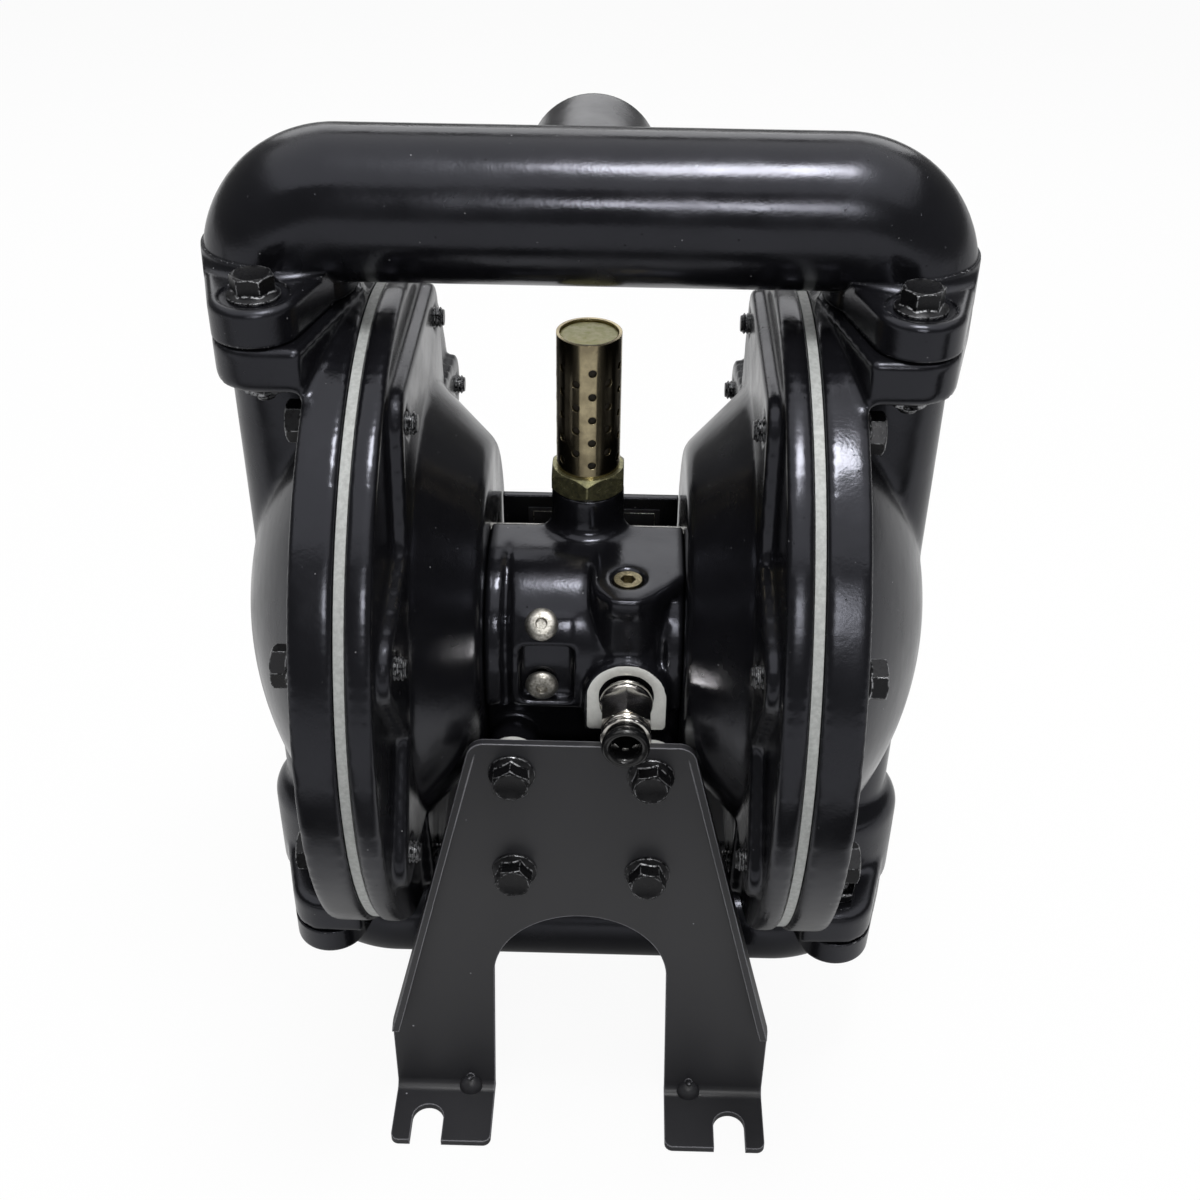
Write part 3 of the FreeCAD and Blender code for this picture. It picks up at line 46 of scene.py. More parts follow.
# The camera, in millimetres and degrees
EYE = Vector((12.708, -502.128, 355.948))
EYE_YAW = -0.863
EYE_PITCH = 35.35
EYE_ROLL = 0.793
FOCAL_LENGTH = 46.09
SENSOR = 36.0

# Places on the pump, in millimetres
BOLT_CIRCLE_R = 110.0
BOLT_COUNT = 8
FIRST_BOLT_ANGLE = 22.5
FLUID_FLANGE_X = 93.5
FLANGE_BOLT_L = 36.5
EAR_X = 108.7
EAR_Y = 38.3
EAR_TOP_Z = 145.5
EAR_UNDER_Z = 117.0
INLET_DROP = 5.5
BRACKET_FRONT_Y = 67.2
BRACKET_BOLTS = ((26.35, -33.85), (26.35, -84.95), (-26.35, -33.85), (-26.35, -84.95))
BRACKET_BOLT_L = 18.0
BEND_RIB_X = 48.5
BEND_RIB_OUT = 0.8
BEND_RIB_Z = 3.6
BEND_RIB_RADII = (5.2, 4.6, 5.6)
FOOT_MIDDLE_Z = 1.0
INLET_X = 16.3
INLET_Z = -4.0
INLET_FACE_Y = 57.0
MANIFOLD_HEIGHT = 163.0
PORT_FACE_Y = 50.0
COVER_BACK_Y = 47.0
COVER_SCREWS = ((29.0, -20.0), (29.0, -54.0), (-29.0, -20.0), (-29.0, -54.0))
BUTTON_SCREWS = ((-15.5, -49.4, -4.6), (-15.5, -46.6, 21.0))
UPPER_BUTTON_TILT = 46.0
PLATE_CENTRE = (1.5, 43.4, 3.5)
PLATE_SIZE = (51.0, 21.0)

# Sizes of the hardware, in millimetres
HEX_FLAT = 13.0
HEAD_TOP = 8.0
CHAMFER_R = 6.3
THREAD_R = 4.0
THREAD_PITCH = 1.25
NUT_HEIGHT = 5.2
COVER_SOCKET_FLAT = 3.0
BUTTON_SOCKET_FLAT = 3.5
FITTING_FLAT = 17.6
PIPE_PITCH = 2.31
PIPE_GROOVE_R = 15.1
PIPE_CREST_R = 13.9
STEEL_STEPS = 36

# The studio, in metres and watts; a lamp has its name, place, width, height and power
FLOOR_HALF = 6.0
# middle of the painted dark band that reflections see across the front of the floor
PAINTED_SHADE_BAND_Y = -0.36
ROOM_LIGHT = 0.15
LAMPS = (
    ("overhead_box", (0.11, -0.19, 1.28), 0.3, 0.2, 6.0),
    ("front_box", (0.125, -1.12, 0.93), 0.35, 0.14, 3.4),
    ("ceiling_box", (0.0, 0.0, 1.9), 3.6, 3.0, 34.0),
    ("back_box", (0.0, 1.2, 0.95), 1.6, 0.6, 5.0),
)

CAPS = ("left_air_cap", "right_air_cap", "left_fluid_cap", "right_fluid_cap")
CASTINGS = ("outlet_manifold", "inlet_manifold", "rear_cover")
SHEET_PARTS = ("front_bracket", "rear_bracket")
SEALS = (
    "left_shaft_seal", "right_shaft_seal", "left_outlet_gasket", "right_outlet_gasket",
    "left_inlet_gasket", "right_inlet_gasket",
)
BALLS = ("left_outlet_ball", "right_outlet_ball", "left_inlet_ball", "right_inlet_ball")
TURNED_STEEL = (
    "shaft", "pilot_rod", "left_outlet_seat", "right_outlet_seat", "left_inlet_seat", "right_inlet_seat",
)
BARE_ALUMINIUM = (
    "left_inner_plate", "right_inner_plate", "left_outer_plate", "right_outer_plate", "valve_sleeve",
    "valve_spool", "left_valve_end_plug", "right_valve_end_plug",
)


def colour(code):
    """Linear colour from an sRGB hex code."""
    parts = []
    for start in (1, 3, 5):
        value = int(code[start:start + 2], 16) / 255
        parts.append(value / 12.92 if value <= 0.04045 else ((value + 0.055) / 1.055) ** 2.4)
    return (*parts, 1.0)


def add(tree, kind, inputs=None, **settings):
    """A node with its settings, its socket values and its links."""
    made = tree.nodes.new(kind)
    for name, value in settings.items():
        setattr(made, name, value)
    for name, value in (inputs or {}).items():
        socket = made.inputs[name]
        if isinstance(value, bpy.types.NodeSocket):
            tree.links.new(value, socket)
        else:
            socket.default_value = value
    return made


def new_material(name):
    material = bpy.data.materials.new(name)
    material.use_nodes = True
    material.node_tree.nodes.clear()
    return material


def painted_casting(name, edge_mm, bare_face_y=None):
    """Black paint on sand-cast aluminium: a wet gloss over slow waves and fine orange peel, a few casting
    pits, pale dust, and grey metal where sharp edges have lost their paint. The machined air inlet face,
    where there is one, is left bare."""
    material = new_material(name)
    tree = material.node_tree
    place = add(tree, "ShaderNodeTexCoord").outputs["Object"]
    face = add(tree, "ShaderNodeNewGeometry").outputs["Normal"]

    # slow waves about 14 mm long, sand grain of 1.1 mm and pits of 0.5 mm
    round_edge = add(tree, "ShaderNodeBevel", {"Radius": edge_mm * MM}, samples=6).outputs["Normal"]
    waves = add(tree, "ShaderNodeTexNoise", {"Vector": place, "Scale": 1 / (14 * MM), "Detail": 2.0})
    peel = add(tree, "ShaderNodeTexNoise", {"Vector": place, "Scale": 1 / (1.1 * MM), "Detail": 2.0})
    cells = add(tree, "ShaderNodeTexVoronoi", {"Vector": place, "Scale": 1 / (5.0 * MM)})
    pits = add(tree, "ShaderNodeMapRange", {
        "Value": cells.outputs["Distance"], "From Min": 0.03, "From Max": 0.07})
    wavy = add(tree, "ShaderNodeBump", {
        "Height": waves.outputs["Fac"], "Distance": 0.5 * MM, "Strength": 0.3, "Normal": round_edge})
    peeled = add(tree, "ShaderNodeBump", {
        "Height": peel.outputs["Fac"], "Distance": 0.08 * MM, "Strength": 0.4,
        "Normal": wavy.outputs["Normal"]})
    pitted = add(tree, "ShaderNodeBump", {
        "Height": pits.outputs["Result"], "Distance": 0.25 * MM, "Strength": 0.7,
        "Normal": peeled.outputs["Normal"]})

    # worn edges: the rounded normal leaves the true one only near a sharp edge
    turn = add(tree, "ShaderNodeVectorMath", {0: round_edge, 1: face}, operation="DOT_PRODUCT")
    edge = add(tree, "ShaderNodeMapRange", {
        "Value": turn.outputs["Value"], "From Min": 0.93, "From Max": 0.83})
    chips = add(tree, "ShaderNodeTexNoise", {
        "Vector": place, "Scale": 1 / (2.2 * MM), "Detail": 4.0, "Roughness": 0.7})
    chipped = add(tree, "ShaderNodeMapRange", {
        "Value": chips.outputs["Fac"], "From Min": 0.57, "From Max": 0.63})
    worn = add(tree, "ShaderNodeMath", {
        0: edge.outputs["Result"], 1: chipped.outputs["Result"]}, operation="MULTIPLY")

    # dust specks about 0.5 mm across, far apart
    grit = add(tree, "ShaderNodeTexVoronoi", {"Vector": place, "Scale": 1 / (8 * MM)})
    dust = add(tree, "ShaderNodeMapRange", {
        "Value": grit.outputs["Distance"], "From Min": 0.04, "From Max": 0.025, "To Max": 0.6})
    pale = add(tree, "ShaderNodeMath", {
        0: worn.outputs["Value"], 1: dust.outputs["Result"]}, operation="MAXIMUM")
    tone = add(tree, "ShaderNodeMix", {
        0: waves.outputs["Fac"], 6: colour("#0B0B0D"), 7: colour("#121215")}, data_type="RGBA")
    skin = add(tree, "ShaderNodeMix", {
        0: pale.outputs["Value"], 6: tone.outputs[2], 7: colour("#8C8C8E")}, data_type="RGBA")
    smears = add(tree, "ShaderNodeTexNoise", {"Vector": place, "Scale": 1 / (30 * MM), "Detail": 4.0})
    gloss = add(tree, "ShaderNodeMapRange", {
        "Value": smears.outputs["Fac"], "From Min": 0.35, "From Max": 0.65, "To Min": 0.14, "To Max": 0.28})
    paint = add(tree, "ShaderNodeBsdfPrincipled", {
        "Base Color": skin.outputs[2], "Roughness": gloss.outputs["Result"],
        "Specular Tint": colour("#E6E8F6"), "Normal": pitted.outputs["Normal"]})
    shader = paint
    if bare_face_y is not None:
        # milling marks on the bare face, drawn 1.6 mm apart so that they show; the wave texture repeats
        # twenty times in two pi of its scaled length
        depth = add(tree, "ShaderNodeSeparateXYZ", {"Vector": place})
        bare = add(tree, "ShaderNodeMath", {
            0: depth.outputs["Y"], 1: -(bare_face_y - 0.25) * MM}, operation="LESS_THAN")
        marks = add(tree, "ShaderNodeTexWave", {
            "Vector": place, "Scale": math.tau / 20 / (1.5834 * MM), "Distortion": 1.5}, bands_direction="Z")
        milled = add(tree, "ShaderNodeBump", {
            "Height": marks.outputs["Fac"], "Distance": 0.02 * MM, "Strength": 0.3, "Normal": face})
        stain = add(tree, "ShaderNodeMix", {
            0: chips.outputs["Fac"], 6: colour("#F2F2EE"), 7: colour("#CFD0CB")}, data_type="RGBA")
        metal = add(tree, "ShaderNodeBsdfPrincipled", {
            "Base Color": stain.outputs[2], "Metallic": 0.3, "Roughness": 0.45,
            "Normal": milled.outputs["Normal"]})
        shader = add(tree, "ShaderNodeMixShader", {
            0: bare.outputs["Value"], 1: paint.outputs[0], 2: metal.outputs[0]})
    add(tree, "ShaderNodeOutputMaterial", {"Surface": shader.outputs[0]})
    return material


def powder_coated_sheet():
    """Satin black powder coat on bent steel sheet: dark grey and even, a fine texture, rubbed edges painted
    pale as a highlight.
    """
    material = new_material("powder_coated_steel_sheet")
    tree = material.node_tree
    place = add(tree, "ShaderNodeTexCoord").outputs["Object"]
    face = add(tree, "ShaderNodeNewGeometry").outputs["Normal"]
    round_edge = add(tree, "ShaderNodeBevel", {"Radius": 0.7 * MM}, samples=4).outputs["Normal"]
    grain = add(tree, "ShaderNodeTexNoise", {"Vector": place, "Scale": 1 / (0.9 * MM), "Detail": 3.0})
    texture = add(tree, "ShaderNodeBump", {
        "Height": grain.outputs["Fac"], "Distance": 0.05 * MM, "Strength": 0.3, "Normal": round_edge})
    # pale edges all along: rubbed paint, and also a painted highlight
    turn = add(tree, "ShaderNodeVectorMath", {0: round_edge, 1: face}, operation="DOT_PRODUCT")
    edge = add(tree, "ShaderNodeMapRange", {
        "Value": turn.outputs["Value"], "From Min": 0.995, "From Max": 0.95})
    # a few dust specks just under 1 mm across
    grit = add(tree, "ShaderNodeTexVoronoi", {"Vector": place, "Scale": 1 / (14 * MM)})
    dust = add(tree, "ShaderNodeMapRange", {
        "Value": grit.outputs["Distance"], "From Min": 0.035, "From Max": 0.025})
    pale = add(tree, "ShaderNodeMath", {
        0: edge.outputs["Result"], 1: dust.outputs["Result"]}, operation="MAXIMUM")
    cloud = add(tree, "ShaderNodeTexNoise", {"Vector": place, "Scale": 1 / (40 * MM), "Detail": 3.0})
    tone = add(tree, "ShaderNodeMix", {
        0: cloud.outputs["Fac"], 6: colour("#28282B"), 7: colour("#303033")}, data_type="RGBA")
    skin = add(tree, "ShaderNodeMix", {
        0: pale.outputs["Value"], 6: tone.outputs[2], 7: colour("#9C9CA2")}, data_type="RGBA")
    rough = add(tree, "ShaderNodeMapRange", {
        "Value": cloud.outputs["Fac"], "From Min": 0.3, "From Max": 0.7, "To Min": 0.36, "To Max": 0.46})
    paint = add(tree, "ShaderNodeBsdfPrincipled", {
        "Base Color": skin.outputs[2], "Roughness": rough.outputs["Result"],
        "Normal": texture.outputs["Normal"]})
    add(tree, "ShaderNodeOutputMaterial", {"Surface": paint.outputs[0]})
    return material


def black_zinc_steel():
    """Cold-forged steel bolts with black zinc plating: dark glossy metal, and bright steel where a
    spanner has chipped the corners."""
    material = new_material("black_zinc_plated_steel")
    tree = material.node_tree
    place = add(tree, "ShaderNodeTexCoord").outputs["Object"]
    face = add(tree, "ShaderNodeNewGeometry").outputs["Normal"]
    round_edge = add(tree, "ShaderNodeBevel", {"Radius": 0.7 * MM}, samples=4).outputs["Normal"]
    scuffs = add(tree, "ShaderNodeTexNoise", {
        "Vector": place, "Scale": 1 / (1.4 * MM), "Detail": 4.0, "Roughness": 0.65})
    rolled = add(tree, "ShaderNodeBump", {
        "Height": scuffs.outputs["Fac"], "Distance": 0.04 * MM, "Strength": 0.4, "Normal": round_edge})
    turn = add(tree, "ShaderNodeVectorMath", {0: round_edge, 1: face}, operation="DOT_PRODUCT")
    edge = add(tree, "ShaderNodeMapRange", {
        "Value": turn.outputs["Value"], "From Min": 0.985, "From Max": 0.9})
    chipped = add(tree, "ShaderNodeMapRange", {
        "Value": scuffs.outputs["Fac"], "From Min": 0.46, "From Max": 0.52})
    worn = add(tree, "ShaderNodeMath", {
        0: edge.outputs["Result"], 1: chipped.outputs["Result"]}, operation="MULTIPLY")
    skin = add(tree, "ShaderNodeMix", {
        0: worn.outputs["Value"], 6: colour("#1B1B1D"), 7: colour("#B9BABD")}, data_type="RGBA")
    rough = add(tree, "ShaderNodeMapRange", {
        "Value": scuffs.outputs["Fac"], "From Min": 0.3, "From Max": 0.7, "To Min": 0.24, "To Max": 0.38})
    metal = add(tree, "ShaderNodeBsdfPrincipled", {
        "Base Color": skin.outputs[2], "Metallic": 0.6, "Roughness": rough.outputs["Result"],
        "Normal": rolled.outputs["Normal"]})
    add(tree, "ShaderNodeOutputMaterial", {"Surface": metal.outputs[0]})
    return material


def bright_metal(name, light, dark, roughness, lump_mm, metallic=1.0):
    """Bare or plated metal: its tone and shine wander a little over each piece, its edges are rounded."""
    material = new_material(name)
    tree = material.node_tree
    place = add(tree, "ShaderNodeTexCoord").outputs["Object"]
    round_edge = add(tree, "ShaderNodeBevel", {"Radius": 0.35 * MM}, samples=4).outputs["Normal"]
    cloud = add(tree, "ShaderNodeTexNoise", {
        "Vector": place, "Scale": 1 / (lump_mm * MM), "Detail": 5.0, "Roughness": 0.6})
    scratches = add(tree, "ShaderNodeTexNoise", {
        "Vector": place, "Scale": 6 / (lump_mm * MM), "Detail": 3.0})
    worked = add(tree, "ShaderNodeBump", {
        "Height": scratches.outputs["Fac"], "Distance": 0.02 * MM, "Strength": 0.35, "Normal": round_edge})
    blotch = add(tree, "ShaderNodeMapRange", {
        "Value": cloud.outputs["Fac"], "From Min": 0.35, "From Max": 0.65})
    tone = add(tree, "ShaderNodeMix", {
        0: blotch.outputs["Result"], 6: colour(light), 7: colour(dark)}, data_type="RGBA")
    rough = add(tree, "ShaderNodeMapRange", {
        "Value": cloud.outputs["Fac"], "From Min": 0.3, "From Max": 0.7,
        "To Min": roughness, "To Max": roughness * 1.5})
    metal = add(tree, "ShaderNodeBsdfPrincipled", {
        "Base Color": tone.outputs[2], "Metallic": metallic, "Roughness": rough.outputs["Result"],
        "Normal": worked.outputs["Normal"]})
    add(tree, "ShaderNodeOutputMaterial", {"Surface": metal.outputs[0]})
    return material


def moulded(name, light, dark, roughness, lump_mm):
    """Moulded plastic, rubber or enamel: nearly even colour with a faint skin texture."""
    material = new_material(name)
    tree = material.node_tree
    place = add(tree, "ShaderNodeTexCoord").outputs["Object"]
    round_edge = add(tree, "ShaderNodeBevel", {"Radius": 0.4 * MM}, samples=4).outputs["Normal"]
    cloud = add(tree, "ShaderNodeTexNoise", {
        "Vector": place, "Scale": 1 / (lump_mm * MM), "Detail": 5.0, "Roughness": 0.65})
    fine = add(tree, "ShaderNodeTexNoise", {"Vector": place, "Scale": 1 / (0.6 * MM), "Detail": 2.0})
    skin = add(tree, "ShaderNodeBump", {
        "Height": fine.outputs["Fac"], "Distance": 0.03 * MM, "Strength": 0.3, "Normal": round_edge})
    blotch = add(tree, "ShaderNodeMapRange", {
        "Value": cloud.outputs["Fac"], "From Min": 0.38, "From Max": 0.62})
    tone = add(tree, "ShaderNodeMix", {
        0: blotch.outputs["Result"], 6: colour(light), 7: colour(dark)}, data_type="RGBA")
    rough = add(tree, "ShaderNodeMapRange", {
        "Value": cloud.outputs["Fac"], "From Min": 0.3, "From Max": 0.7,
        "To Min": roughness * 0.85, "To Max": roughness * 1.15})
    plastic = add(tree, "ShaderNodeBsdfPrincipled", {
        "Base Color": tone.outputs[2], "Roughness": rough.outputs["Result"],
        "Normal": skin.outputs["Normal"]})
    add(tree, "ShaderNodeOutputMaterial", {"Surface": plastic.outputs[0]})
    return material


def give(names, material):
    """Puts one material on CAD nodes."""
    for name in names:
        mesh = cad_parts[name].data
        mesh.materials.clear()
        mesh.materials.append(material)


def new_corners(made):
    return [item for item in made if isinstance(item, bmesh.types.BMVert)]


def new_edges(made):
    return [item for item in made if isinstance(item, bmesh.types.BMEdge)]


def edges_between(form, corners):
    return [edge for edge in form.edges if edge.verts[0] in corners and edge.verts[1] in corners]


def turned(form, profile, steps=STEEL_STEPS):
    """Turns a profile of (radius, height) pairs, in millimetres, about the upright axis."""
    corners = [form.verts.new((radius * MM, 0, height * MM)) for radius, height in profile]
    sides = [form.edges.new(pair) for pair in zip(corners, corners[1:])]
    bmesh.ops.spin(
        form, geom=corners + sides, cent=(0, 0, 0), axis=(0, 0, 1), angle=2 * math.pi, steps=steps,
        use_merge=True)
    bmesh.ops.remove_doubles(form, verts=form.verts[:], dist=1e-6)


def hexagon_reach(corner, flat):
    """Millimetres from the upright axis to the side of a hexagon, towards a corner of the form."""
    turn = math.atan2(corner.co.y, corner.co.x) % (math.pi / 3) - math.pi / 6
    return flat / 2 / math.cos(turn)


def hexagonal(form, flat, low, high, chamfer_r):
    """Hexagon across flats with the corners of its top turned off to a cone. Gives the ring that is left
    open in the top."""
    ring = bmesh.ops.create_circle(form, cap_ends=False, segments=48, radius=1)["verts"]
    for corner in ring:
        corner.co *= hexagon_reach(corner, flat) * MM / corner.co.length
        corner.co.z = low * MM
    made = bmesh.ops.extrude_edge_only(form, edges=edges_between(form, ring))["geom"]
    for corner in new_corners(made):
        reach = math.hypot(corner.co.x, corner.co.y)
        corner.co.z = high * MM - max(0, reach - chamfer_r * MM) * math.tan(math.radians(30))
    made = bmesh.ops.extrude_edge_only(form, edges=new_edges(made))["geom"]
    inner = new_corners(made)
    for corner in inner:
        reach = math.hypot(corner.co.x, corner.co.y)
        corner.co.x *= chamfer_r * 0.96 * MM / reach
        corner.co.y *= chamfer_r * 0.96 * MM / reach
        corner.co.z = high * MM
    return inner


def thread(low, high, crest_r, pitch):
    """Profile of a thread from one height to another, as (radius, height) pairs."""
    root_r = crest_r - 0.6 * pitch
    pairs = []
    height = low
    while height + pitch <= high:
        pairs += [(root_r, height), (crest_r, height + pitch * 0.4), (crest_r, height + pitch * 0.6)]
        height += pitch
    return pairs + [(root_r, height)]


def flange_bolt(length):
    """Hex bolt with its washer flange; the seat of the head is at height 0 and the shank below it."""
    form = bmesh.new()
    top = hexagonal(form, HEX_FLAT, 1.6, HEAD_TOP, CHAMFER_R)
    # shallow dish in the head
    made = bmesh.ops.extrude_edge_only(form, edges=edges_between(form, top))["geom"]
    dish = new_corners(made)
    bmesh.ops.scale(form, vec=(0.8, 0.8, 1), verts=dish)
    bmesh.ops.translate(form, vec=(0, 0, -0.35 * MM), verts=dish)
    bmesh.ops.contextual_create(form, geom=new_edges(made))
    # washer flange
    turned(form, [(0, 2.6), (6.2, 2.6), (8.1, 1.5), (8.9, 1.0), (8.9, 0.25), (8.6, 0.0), (THREAD_R, 0.0)])
    # shank with the thread on its lower part
    tip = [(0, -length), (THREAD_R - 1.0, -length)]
    threaded = thread(-length + 0.8, -length * 0.45, THREAD_R, THREAD_PITCH)
    turned(form, tip + threaded + [(THREAD_R, -length * 0.4), (THREAD_R, 0.0)])
    return form


def hex_nut():
    """Hex nut with both faces turned off; its seat is at height 0 and it hangs below."""
    form = bmesh.new()
    hexagonal(form, HEX_FLAT, -NUT_HEIGHT / 2, 0.0, CHAMFER_R)
    bmesh.ops.mirror(
        form, geom=form.verts[:] + form.edges[:] + form.faces[:],
        matrix=Matrix.Translation((0, 0, NUT_HEIGHT / 2 * MM)), merge_dist=1e-6, axis="Z")
    bmesh.ops.remove_doubles(form, verts=form.verts[:], dist=1e-6)
    # the bore, with a countersink at each end
    turned(form, [
        (THREAD_R + 0.5, 0.0), (THREAD_R, -0.6), (THREAD_R, 0.6 - NUT_HEIGHT), (THREAD_R + 0.5, -NUT_HEIGHT)])
    open_edges = [edge for edge in form.edges if edge.is_boundary]
    for height in (0.0, -NUT_HEIGHT):
        pair = [edge for edge in open_edges if abs(edge.verts[0].co.z - height * MM) < 0.4 * MM]
        bmesh.ops.bridge_loops(form, edges=pair)
    return form


def socket_screw(profile, flat, floor):
    """Turned screw with a hexagon socket, which starts at the open end of the profile."""
    form = bmesh.new()
    turned(form, profile)
    rim = [edge for edge in form.edges if edge.is_boundary]
    made = bmesh.ops.extrude_edge_only(form, edges=rim)["geom"]
    for corner in new_corners(made):
        reach = hexagon_reach(corner, flat) * MM / math.hypot(corner.co.x, corner.co.y)
        corner.co.x *= reach
        corner.co.y *= reach
        corner.co.z = floor * MM
    bmesh.ops.contextual_create(form, geom=new_edges(made))
    return form


def finished(name, form, body, replaced, material, smooth_degrees=32):
    """Makes the piece from its form and hangs it on its body, hiding the CAD node that it replaces, if any.
    """
    bmesh.ops.remove_doubles(form, verts=form.verts[:], dist=1e-6)
    bmesh.ops.recalc_face_normals(form, faces=form.faces[:])
    for face in form.faces:
        face.smooth = True
    mesh = bpy.data.meshes.new(name)
    form.to_mesh(mesh)
    form.free()
    mesh.set_sharp_from_angle(angle=math.radians(smooth_degrees))
    mesh.materials.append(material)
    piece = bpy.data.objects.new(name, mesh)
    bpy.context.scene.collection.objects.link(piece)
    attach(piece, body)
    if replaced:
        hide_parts(replaced)
    return piece


def copies(form, places):
    """One form repeated at places, each a point in millimetres about the shaft axis, the way its
    head points and its turn in degrees."""
    pattern = bpy.data.meshes.new("pattern")
    bmesh.ops.recalc_face_normals(form, faces=form.faces[:])
    form.to_mesh(pattern)
    form.free()
    row = bmesh.new()
    for point, ahead, turn in places:
        before = len(row.verts)
        row.from_mesh(pattern)
        row.verts.ensure_lookup_table()
        upright = Vector(ahead).to_track_quat("Z", "Y").to_matrix().to_4x4()
        place = Matrix.Translation((Vector(point) + Vector((0, 0, AXIS_HEIGHT))) * MM)
        turned_by = Matrix.Rotation(math.radians(turn), 4, "Z")
        bmesh.ops.transform(row, matrix=place @ upright @ turned_by, verts=row.verts[before:])
    bpy.data.meshes.remove(pattern)
    return row


def soften(node, material, grain_mm, passes):
    """A cast piece with its edges run round, as a sand mould leaves them."""
    form = bmesh.new()
    form.from_mesh(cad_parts[node].data)
    piece = finished(node + "_casting", form, "pump_body", node, material, 180)
    even = piece.modifiers.new("even_faces", "REMESH")
    even.mode = "VOXEL"
    even.voxel_size = grain_mm * MM
    even.use_smooth_shade = True
    rounding = piece.modifiers.new("cast_rounding", "SMOOTH")
    rounding.factor = 0.5
    rounding.iterations = passes


def bend_ribs(material):
    """Round ribs pressed into the bends above the feet."""
    form = bmesh.new()
    depth = BRACKET_FRONT_Y + BEND_RIB_OUT
    for x in (-BEND_RIB_X, BEND_RIB_X):
        for y in (-depth, depth):
            made = bmesh.ops.create_uvsphere(form, u_segments=24, v_segments=16, radius=1.0)["verts"]
            bmesh.ops.scale(form, vec=Vector(BEND_RIB_RADII) * MM, verts=made)
            bmesh.ops.translate(form, vec=Vector((x, y, BEND_RIB_Z)) * MM, verts=made)
    # the lower part, which would come out under the foot, is cut off inside the sheet
    everything = form.verts[:] + form.edges[:] + form.faces[:]
    bmesh.ops.bisect_plane(
        form, geom=everything, plane_co=(0, 0, FOOT_MIDDLE_Z * MM), plane_no=(0, 0, 1), clear_inner=True)
    bmesh.ops.holes_fill(form, edges=[edge for edge in form.edges if edge.is_boundary])
    finished("bend_ribs", form, "pump_body", None, material)


def flange_bolts(side, hand, material):
    """Ring of bolts around one chamber, whose heads are on the fluid cap."""
    places = []
    for index in range(BOLT_COUNT):
        angle = math.radians(FIRST_BOLT_ANGLE + index * 360 / BOLT_COUNT)
        point = (side * FLUID_FLANGE_X, -BOLT_CIRCLE_R * math.sin(angle), BOLT_CIRCLE_R * math.cos(angle))
        places.append((point, (side, 0, 0), 17 * index))
    row = copies(flange_bolt(FLANGE_BOLT_L), places)
    finished(hand + "_flange_bolt_row", row, "pump_body", hand + "_flange_bolts", material)


def manifold_bolts(material):
    """Bolts with nuts at the ears of the manifolds: the inlet rows are the outlet ones upside down."""
    past_nut = 8.3
    length = EAR_TOP_Z - EAR_UNDER_Z + past_nut
    for name, sign, drop in (("outlet", 1, 0), ("inlet", -1, INLET_DROP)):
        heads = []
        nuts = []
        for x in (-EAR_X, EAR_X):
            for y in (-EAR_Y, EAR_Y):
                turn = 0.31 * x + 0.7 * y
                heads.append(((x, y, sign * (EAR_TOP_Z + drop)), (0, 0, sign), turn))
                nuts.append(((x, y, sign * (EAR_UNDER_Z + drop)), (0, 0, sign), turn + 40))
        row = copies(flange_bolt(length), heads)
        finished(name + "_bolt_row", row, "pump_body", name + "_bolts", material)
        row = copies(hex_nut(), nuts)
        finished(name + "_nut_row", row, "pump_body", name + "_nuts", material)


def bracket_bolts(material):
    """Four bolts at each bracket, no two heads turned alike."""
    for name, sign in (("front", -1), ("rear", 1)):
        places = [
            ((x, sign * BRACKET_FRONT_Y, z), (0, sign, 0), 5 + 0.8 * x + 0.4 * z) for x, z in BRACKET_BOLTS
        ]
        row = copies(flange_bolt(BRACKET_BOLT_L), places)
        finished(name + "_bracket_bolt_row", row, "pump_body", name + "_bracket_bolts", material)


def cover_screws(material):
    """Pan-head screws with a hexagon socket, on the rear cover."""
    form = socket_screw([
        (1.9, 3.5), (3.2, 3.5), (4.0, 3.1), (4.5, 2.2), (4.5, 0.3), (4.3, 0.0), (2.4, 0.0), (2.4, -3.0),
        (0, -3.0),
    ], COVER_SOCKET_FLAT, 1.6)
    places = [((x, COVER_BACK_Y, z), (0, 1, 0), 11 * x + z) for x, z in COVER_SCREWS]
    row = copies(form, places)
    finished("cover_screw_row", row, "pump_body", "cover_screws", material)


def button_screws(material):
    """Two low domed screws with a hexagon socket, on the front of the body; the upper one is tilted up."""
    form = socket_screw([
        (2.2, 3.1), (3.6, 3.0), (4.9, 2.6), (5.8, 1.9), (6.2, 1.1), (6.2, 0.4), (6.0, -0.3), (3.0, -0.3),
        (3.0, -2.5), (0, -2.5),
    ], BUTTON_SOCKET_FLAT, 1.4)
    tilt = math.radians(UPPER_BUTTON_TILT)
    lower, upper = BUTTON_SCREWS
    row = copies(form, [(lower, (0, -1, 0), 14), (upper, (0, -math.cos(tilt), math.sin(tilt)), 47)])
    finished("button_screw_pair", row, "pump_body", "button_screws", material)


def plate_border(material):
    """Bright line around the bare plate."""
    width, height = PLATE_SIZE
    form = bmesh.new()
    corners = bmesh.ops.create_grid(form, x_segments=1, y_segments=1, size=0.5)["verts"]
    bmesh.ops.scale(form, vec=(width * MM, height * MM, 1), verts=corners)
    bmesh.ops.inset_region(
        form, faces=form.faces[:], thickness=0.4 * MM, use_even_offset=True, use_boundary=True)
    middle = max(form.faces, key=lambda face: face.calc_area())
    bmesh.ops.delete(form, geom=[middle], context="FACES_ONLY")
    made = bmesh.ops.extrude_face_region(form, geom=form.faces[:])["geom"]
    bmesh.ops.translate(form, vec=(0, 0, 0.05 * MM), verts=new_corners(made))
    row = copies(form, [(PLATE_CENTRE, (0, -1, 0), 0)])
    finished("plate_border", row, "pump_body", None, material)


